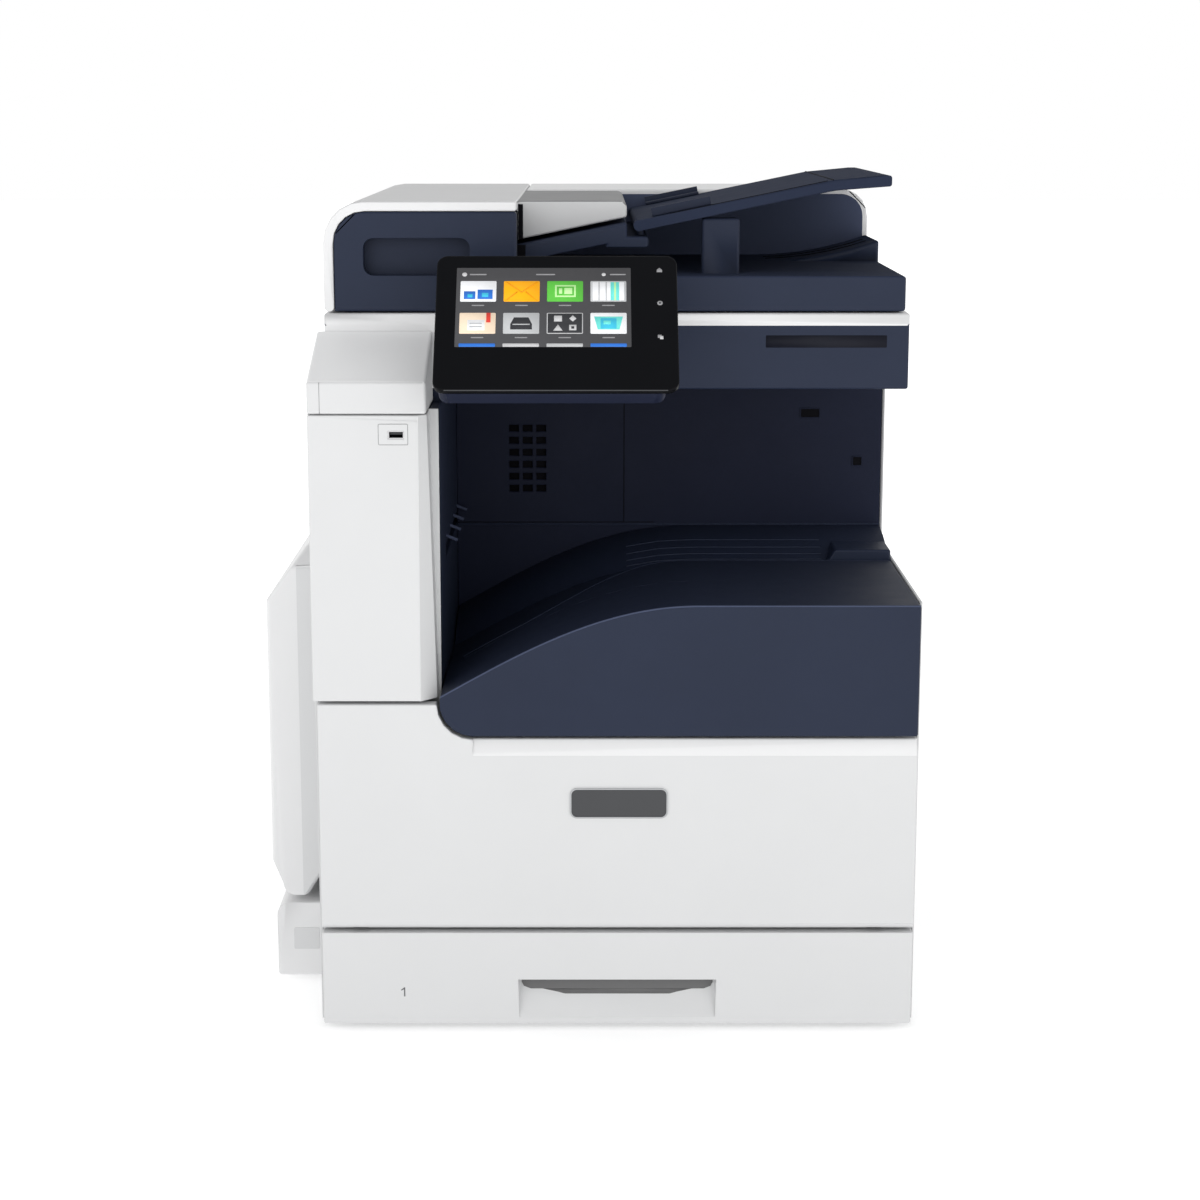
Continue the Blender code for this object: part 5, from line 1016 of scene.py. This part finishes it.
# rounds of dots and the outlines of marks are in shares of their size
screen = {"box": (-0.0890, 0.0657, 0.0464, 0.1345), "boxRound": 0.0008, "sunk": -0.0002, "layer": 0.0001,
          "shapeLevel": 3, "levelStep": 0.25, "columns": 4, "tile": (0.0318, 0.0230), "first": (0.0037, 0.0150),
          "step": (0.0384, 0.0356), "tileRound": 0.0010, "bar": (0.0055, 0.0006), "barDrop": 0.0042,
          "barRound": 0.0004, "sliver": (0.0002, 0.0038), "sliverRound": 0.0006, "rowDrop": 0.0075,
          "dots": ((-0.0820, 0.0022), (0.0417, 0.0018)), "dotRound": 0.95,
          "rowBars": ((-0.0700, 0.0075), (-0.0100, 0.0085), (0.0542, 0.0070)), "rowBarHalf": 0.0007,
          "rowBarRound": 0.0005, "iconX": 0.0913, "iconUp": (0.1322, 0.0950, 0.0574), "icon": 0.0024,
          "gable": [(-1, -1), (1, -1), (1, 0.1), (0, 1), (-1, 0.1)], "ringInner": 0.4,
          "backSheet": (-1, 0.4, -0.4, 1), "frontSheet": (-0.2, 1, -1, 0.4)}
# each tile is its ground and its plain shapes, in shares of the tile: a box is left, low, right, high
tiles = [
    ("tileWhite", [("tileBlue", (0.10, 0.12, 0.42, 0.50)), ("tileBlue", (0.48, 0.12, 0.90, 0.58)),
                   ("tileCyan", (0.20, 0.20, 0.34, 0.36)), ("tileCyan", (0.60, 0.22, 0.78, 0.42))]),
    ("tileOrange", [("tileAmber", [(0.04, 0.96), (0.5, 0.40), (0.96, 0.96), (0.90, 0.96), (0.5, 0.49), (0.10, 0.96)]),
                    ("tileAmber", [(0.04, 0.04), (0.09, 0.04), (0.40, 0.46), (0.37, 0.50)]),
                    ("tileAmber", [(0.96, 0.04), (0.63, 0.50), (0.60, 0.46), (0.91, 0.04)])]),
    ("tileGreen", [("tileMint", (0.22, 0.22, 0.80, 0.80)), ("tileGreen", (0.27, 0.29, 0.75, 0.73)),
                   ("tileMint", (0.33, 0.38, 0.42, 0.64)), ("tileMint", (0.48, 0.36, 0.70, 0.66))]),
    ("tileSilver", [("tileWhite", (0.06, 0.06, 0.94, 0.94)), ("tileSilver", (0.22, 0.06, 0.26, 0.94)),
                    ("tileSilver", (0.42, 0.06, 0.46, 0.94)), ("tileTeal", (0.56, 0.06, 0.80, 0.94)),
                    ("tileMint", (0.66, 0.06, 0.71, 0.94))]),
    ("tileCream", [("tileWhite", (0.22, 0.16, 0.70, 0.66)), ("tileSilver", (0.28, 0.30, 0.62, 0.36)),
                   ("tileSilver", (0.28, 0.46, 0.62, 0.52)), ("tileRed", (0.74, 0.54, 0.86, 1.0))]),
    ("tileSilver", [("tileDark", [(0.20, 0.20), (0.80, 0.20), (0.80, 0.46), (0.70, 0.78), (0.30, 0.78), (0.20, 0.46)]),
                    ("tileSilver", (0.26, 0.42, 0.74, 0.47))]),
    ("glyphLight", [("tileDark", (0.025, 0.035, 0.975, 0.965)), ("glyphLight", (0.20, 0.58, 0.42, 0.86)),
                    ("glyphLight", [(0.18, 0.14), (0.44, 0.14), (0.31, 0.44)]),
                    ("glyphLight", [(0.62, 0.72), (0.72, 0.58), (0.82, 0.72), (0.72, 0.88)]),
                    ("glyphLight", (0.62, 0.16, 0.82, 0.42)), ("tileDark", (0.68, 0.23, 0.76, 0.35))]),
    ("tileWhite", [("tileTeal", [(0.20, 0.20), (0.80, 0.20), (0.90, 0.82), (0.10, 0.82)]),
                   ("tileCyan", (0.28, 0.24, 0.72, 0.74)), ("tileTeal", (0.36, 0.44, 0.56, 0.62))]),
]
slivers = ["tileBlue", "glyphLight", "tileSilver", "tileBlue"]


def makeScreen():
    plane = panelPlane()
    shape = bmesh.new()
    names = []

    def stamp(outline, finish, level):
        if finish not in names:
            names.append(finish)
        before = set(shape.faces)
        addPrism(shape, outline, plane, screen["sunk"], screen["layer"] * level)
        for face in shape.faces:
            if face not in before:
                face.material_index = names.index(finish)

    def dot(middle, size):
        return roundBox(*about(middle, (size, size)), size * screen["dotRound"])

    left, right, low, high = screen["box"]
    stamp(roundBox(left, right, low, high, screen["boxRound"], 3), "screenGrey", 1)
    (wide, tall), (firstX, firstY), (stepX, stepY) = screen["tile"], screen["first"], screen["step"]
    for index, (ground, shapes) in enumerate(tiles):
        line, column = divmod(index, screen["columns"])
        x, y = left + firstX + column * stepX, high - firstY - line * stepY - tall
        stamp(roundBox(x, x + wide, y, y + tall, screen["tileRound"], 3), ground, 2)
        for level, (finish, outline) in enumerate(shapes):
            if not isinstance(outline[0], tuple):
                a, b, c, d = outline
                outline = squareBox(a, c, b, d)
            stamp([(x + wide * across, y + tall * up) for across, up in outline], finish,
                  screen["shapeLevel"] + screen["levelStep"] * level)
        # a short plain bar stands below each tile
        bar = about((x + wide / 2, y - screen["barDrop"]), screen["bar"])
        stamp(roundBox(*bar, screen["barRound"], 2), "iconGrey", 2)
    foot, top = screen["sliver"]
    for column, finish in enumerate(slivers):
        x = left + firstX + column * stepX
        stamp(roundBox(x, x + wide, low + foot, low + top, screen["sliverRound"], 2), finish, 2)
    row = high - screen["rowDrop"]
    for x, size in screen["dots"]:
        stamp(dot((x, row), size), "glyphLight", 2)
    for x, size in screen["rowBars"]:
        bar = about((x, row), (size, screen["rowBarHalf"]))
        stamp(roundBox(*bar, screen["rowBarRound"], 2), "iconGrey", 2)
    # touch marks beside the screen: a gable, a ring and a pair of sheets
    iconX, size = screen["iconX"], screen["icon"]
    first, second, third = screen["iconUp"]

    def mark(middle, outline):
        return [(iconX + size * across, middle + size * up) for across, up in outline]

    stamp(mark(first, screen["gable"]), "iconGrey", 1)
    stamp(dot((iconX, second), size), "iconGrey", 1)
    stamp(dot((iconX, second), size * screen["ringInner"]), "tileDark", 2)
    stamp(mark(third, squareBox(*screen["backSheet"])), "iconGrey", 1)
    stamp(mark(third, squareBox(*screen["frontSheet"])), "glyphLight", 2)
    addPiece("screenPicture", shape, names, "control_panel")
    # a grey bead along the foot of the glass is a painted highlight on its edge
    half = panel["width"] / 2 - panel["round"]
    ends = [planePoint(plane, (x, panel["lineUp"]), panel["lineDepth"]) for x in (-half, half)]
    addBeads("glassEdgeHighlight", [ends], panel["lineRadius"], "plateGrey", "control_panel")


makePanel()
makeScreen()
print("control panel made")


# other sides and the inside
louvre = {"border": 0.004, "depth": (-0.0006, 0.0004), "edge": 0.0002, "flatten": 0.5}


def makeLouvre(name, plane, values):
    # flat bars over a dark ground
    (left, right), low, step = values["louvreAcross"], values["louvreLow"], values["louvreStep"]
    border, high = louvre["border"], low + step * (values["louvreCount"] - 1)
    ground = roundBox(left - border, right + border, low - step, high + step, border, 4)
    addPlate(name + "Ground", ground, plane, louvre["depth"], "gapBlack", "chassis", louvre["edge"])
    out = plane[1].cross(plane[2])
    flat = Vector((1, 1, 1)) - louvre["flatten"] * Vector([abs(part) for part in out])
    growPiece(name, barRow, {"Count": values["louvreCount"], "Radius": values["louvreRadius"], "Flatten": flat,
                             "Start": planePoint(plane, (left, low), louvre["depth"][1]), "Step": plane[2] * step,
                             "Length": plane[1] * (right - left), "Material": "shellWhite"}, "chassis")


rear = {"louvreAcross": (-0.035, 0.205), "louvreLow": 0.330, "louvreCount": 16, "louvreStep": 0.0105,
        "louvreRadius": 0.0028, "screwX": (-0.235, 0.029, 0.293), "screwZ": (0.030, 0.310, 0.575), "screwOut": 0.0003}
screws = {"Radius": 0.0042, "Height": 0.0012, "Sides": 20, "Turn": (math.radians(-90), 0, 0),
          "Material": "groundSteel"}
inlet = {"wall": 0.006, "round": 0.003, "floorDepth": (-0.0004, 0.0003), "floorEdge": 0.0001,
         "pinHalf": (0.0011, 0.00325), "pins": ((-0.0085, -0.003), (0.0085, -0.003), (0.0, 0.005)),
         "pinDepth": (-0.0002, 0.0012), "pinEdge": 0.0003}


def makeBack():
    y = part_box("rear_cover")[1].y
    makeLouvre("rearLouvre", facing(y, -wayX), rear)
    points = [(x, y + rear["screwOut"], z) for x in rear["screwX"] for z in rear["screwZ"]]
    growPiece("rearScrews", studs, screws, "chassis", points)
    low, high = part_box("power_inlet")
    middle, half, wall = (low + high) / 2, (high - low) / 2, inlet["wall"]
    plane = facing(high.y, -wayX)
    floor = roundBox(*about((-middle.x, middle.z), (half.x - wall, half.z - wall)), inlet["round"], 4)
    addPlate("inletFloor", floor, plane, inlet["floorDepth"], "gapBlack", "chassis", inlet["floorEdge"])
    pins = bmesh.new()
    for across, up in inlet["pins"]:
        pin = squareBox(*about((across - middle.x, middle.z + up), inlet["pinHalf"]))
        addPrism(pins, pin, plane, *inlet["pinDepth"])
    addPiece("inletPins", pins, "groundSteel", "chassis", inlet["pinEdge"])


flank = {"louvreAcross": (-0.060, 0.130), "louvreLow": 0.175, "louvreCount": 12, "louvreStep": 0.0095,
         "louvreRadius": 0.0024, "seamZ": 0.300, "seamY": (-0.250, 0.328), "seamRadius": 0.0004}


def makeFlank():
    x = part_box("right_cover")[1].x
    makeLouvre("rightLouvre", (Vector((x, 0, 0)), wayY, wayZ), flank)
    seam = [(x, y, flank["seamZ"]) for y in flank["seamY"]]
    addBeads("rightSeam", [seam], flank["seamRadius"], "printGrey", "chassis")


bridge = {"topGap": 0.0006, "coverGap": 0.0004, "depth": (-0.003, -0.0001), "edge": 0.0006}


def makeReturn():
    # the left cover's wall carried forward to the door
    low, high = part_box("left_cover")
    front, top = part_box("right_cover")[0].y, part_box("tower_cover")[0].z - bridge["topGap"]
    outline = squareBox(front, low.y - bridge["coverGap"], low.z, top)
    addPlate("leftReturn", outline, (Vector((high.x, 0, 0)), wayY, wayZ), bridge["depth"], "shellWhite", "chassis",
             bridge["edge"])


platen = {"border": 0.012, "gap": 0.001, "depth": (-0.0004, 0.0003), "ticks": 22, "tickStart": (0.008, 0.003),
          "tickStep": 0.020, "tickLength": 0.006, "tickRadius": 0.0004, "tickFlatten": 0.6}
toner = {"tab": (0.013, 0.0055), "round": 0.003, "depth": (-0.0004, 0.005), "edge": 0.001}
lamp = {"half": 0.004, "ends": 0.02, "depth": (-0.0004, 0.0004), "edge": 0.0002}


def makeInside():
    low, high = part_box("platen_glass")
    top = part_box("scanner_body")[1].z
    box = (low.x, high.x, low.y, high.y)
    addFrame("platenBorder", squareBox(*inset(box, -platen["border"])), squareBox(*inset(box, -platen["gap"])),
             (Vector((0, 0, top)), wayX, wayY), platen["depth"], "slotGrey", "chassis")
    right, back = platen["tickStart"]
    growPiece("platenTicks", barRow, {"Count": platen["ticks"], "Radius": platen["tickRadius"],
                                      "Flatten": (1, 1, platen["tickFlatten"]),
                                      "Start": (low.x + right, high.y + back, top + platen["depth"][1]),
                                      "Step": (platen["tickStep"], 0, 0), "Length": (0, platen["tickLength"], 0),
                                      "Material": "rimWhite"}, "chassis")
    for label in ("black", "cyan", "magenta", "yellow"):
        low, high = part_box("toner_cartridge_" + label)
        middle = (low + high) / 2
        tab = roundBox(*about((middle.x, middle.z), toner["tab"]), toner["round"], 5)
        addPlate("tonerTab_" + label, tab, facing(low.y), toner["depth"], "toner" + label.capitalize(), "chassis",
                 toner["edge"])
    low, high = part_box("scan_carriage")
    middle = (low.x + high.x) / 2
    tube = squareBox(middle - lamp["half"], middle + lamp["half"], low.y + lamp["ends"], high.y - lamp["ends"])
    addPlate("scanLamp", tube, (Vector((0, 0, high.z)), wayX, wayY), lamp["depth"], "padWhite", "scan_carriage",
             lamp["edge"])


makeBack()
makeFlank()
makeReturn()
makeInside()
print("other sides made")

# plain finishes for the nodes that keep their CAD shape
nodeFinishes = {
    "zincSheet": ["base_frame", "rear_frame_plate", "lift_plate", "lid_hinge_left", "lid_hinge_right"],
    "groundSteel": ["carriage_rod", "belt_tension_roller", "fuser_roller"],
    "footRubber": ["foot_front_left", "foot_front_right", "foot_rear_left", "foot_rear_right"],
    "rollerRubber": ["belt_drive_roller", "pressure_roller", "registration_roller", "exit_roller", "pickup_roller",
                     "feed_roller"],
    "softBlack": ["power_inlet", "power_switch", "drawer_box", "side_guide_front", "side_guide_rear", "end_guide",
                  "laser_unit", "scan_carriage"],
    "beltFilm": ["transfer_belt"],
    "drumGreen": ["drum_black", "drum_cyan", "drum_magenta", "drum_yellow"],
    "boardGreen": ["control_board"],
    "tonerBlack": ["toner_cartridge_black"],
    "tonerCyan": ["toner_cartridge_cyan"],
    "tonerMagenta": ["toner_cartridge_magenta"],
    "tonerYellow": ["toner_cartridge_yellow"],
    "clearGlass": ["platen_glass"],
    "padWhite": ["platen_pad"],
    "shellNavy": ["panel_bracket"],
}
for finishName, members in nodeFinishes.items():
    for member in members:
        nodes[member].data.materials.clear()
        nodes[member].data.materials.append(palette[finishName])
print("node finishes set")

# floor, light and camera; a light is its place, its width and its power
studio = {"floorSize": 40.0, "floorGlow": 0.70, "glowLeast": 0.50, "glowNear": 0.35, "glowFar": 1.3,
          "fade": (0.15, 0.75), "horizon": 1.0, "zenith": 0.66, "target": (0.03, -0.05, 0.42),
          "key": (-1.6, -3.6, 1.9, 2.4, 21.0), "fill": (1.9, -3.2, 1.3, 2.0, 12.5)}


def makeFloor():
    half = studio["floorSize"] / 2
    mesh = bpy.data.meshes.new("floor")
    mesh.from_pydata([(x, y, 0) for x, y in squareBox(-half, half, -half, half)], [], [(0, 1, 2, 3)])
    floor = placeObject("floor", mesh)
    paper = makeFinish("floorPale", colour=(0.92, 0.92, 0.92), spread=0.005, rough=0.8, specular=0.1)
    mesh.materials.append(paper)
    # the floor glows less near the part, so that a soft shadow stays under it
    tree = paper.node_tree
    coords = addNode(tree, "ShaderNodeTexCoord").outputs["Object"]
    reach = addNode(tree, "ShaderNodeVectorMath", {0: coords}, operation="LENGTH")
    rise = addNode(tree, "ShaderNodeMapRange", {"Value": reach.outputs["Value"]},
                   {"From Min": studio["glowNear"], "From Max": studio["glowFar"], "To Min": studio["glowLeast"]},
                   interpolation_type="SMOOTHSTEP")
    setNode(tree, tree.nodes["Principled BSDF"], {"Emission Color": rise.outputs["Result"]},
            {"Emission Strength": studio["floorGlow"]})


def makeLight():
    world = bpy.data.worlds.new("studioWorld")
    world.use_nodes = True
    tree = world.node_tree
    coords = addNode(tree, "ShaderNodeTexCoord").outputs["Generated"]
    split = addNode(tree, "ShaderNodeSeparateXYZ", {0: coords})
    low, high = studio["fade"]
    fade = addNode(tree, "ShaderNodeMapRange", {"Value": split.outputs["Z"]},
                   {"From Min": low, "From Max": high, "To Min": studio["horizon"], "To Max": studio["zenith"]})
    setNode(tree, tree.nodes["Background"], {"Strength": fade.outputs["Result"]}, {"Color": (1, 1, 1, 1)})
    bpy.context.scene.world = world
    for label in ("key", "fill"):
        x, y, z, width, power = studio[label]
        light = bpy.data.lights.new(label, "AREA")
        light.shape = "SQUARE"
        light.size = width
        light.energy = power
        item = placeObject(label, light)
        item.location = (x, y, z)
        item.rotation_euler = (Vector(studio["target"]) - item.location).to_track_quat("-Z", "Y").to_euler()


view = {"place": (0.0035, -2.47, 0.85), "down": 11.4, "lens": 73.5, "sensor": 36.0, "shift": 0.00833}


def makeCamera():
    lens = bpy.data.cameras.new("camera")
    lens.lens = view["lens"]
    lens.sensor_width = view["sensor"]
    lens.shift_x = view["shift"]
    lens.dof.use_dof = False
    camera = placeObject("camera", lens)
    camera.location = view["place"]
    camera.rotation_euler = (math.radians(90 - view["down"]), 0, 0)
    bpy.context.scene.camera = camera


makeFloor()
makeLight()
makeCamera()
bpy.context.scene.view_settings.view_transform = "Standard"
print("studio and camera ready")
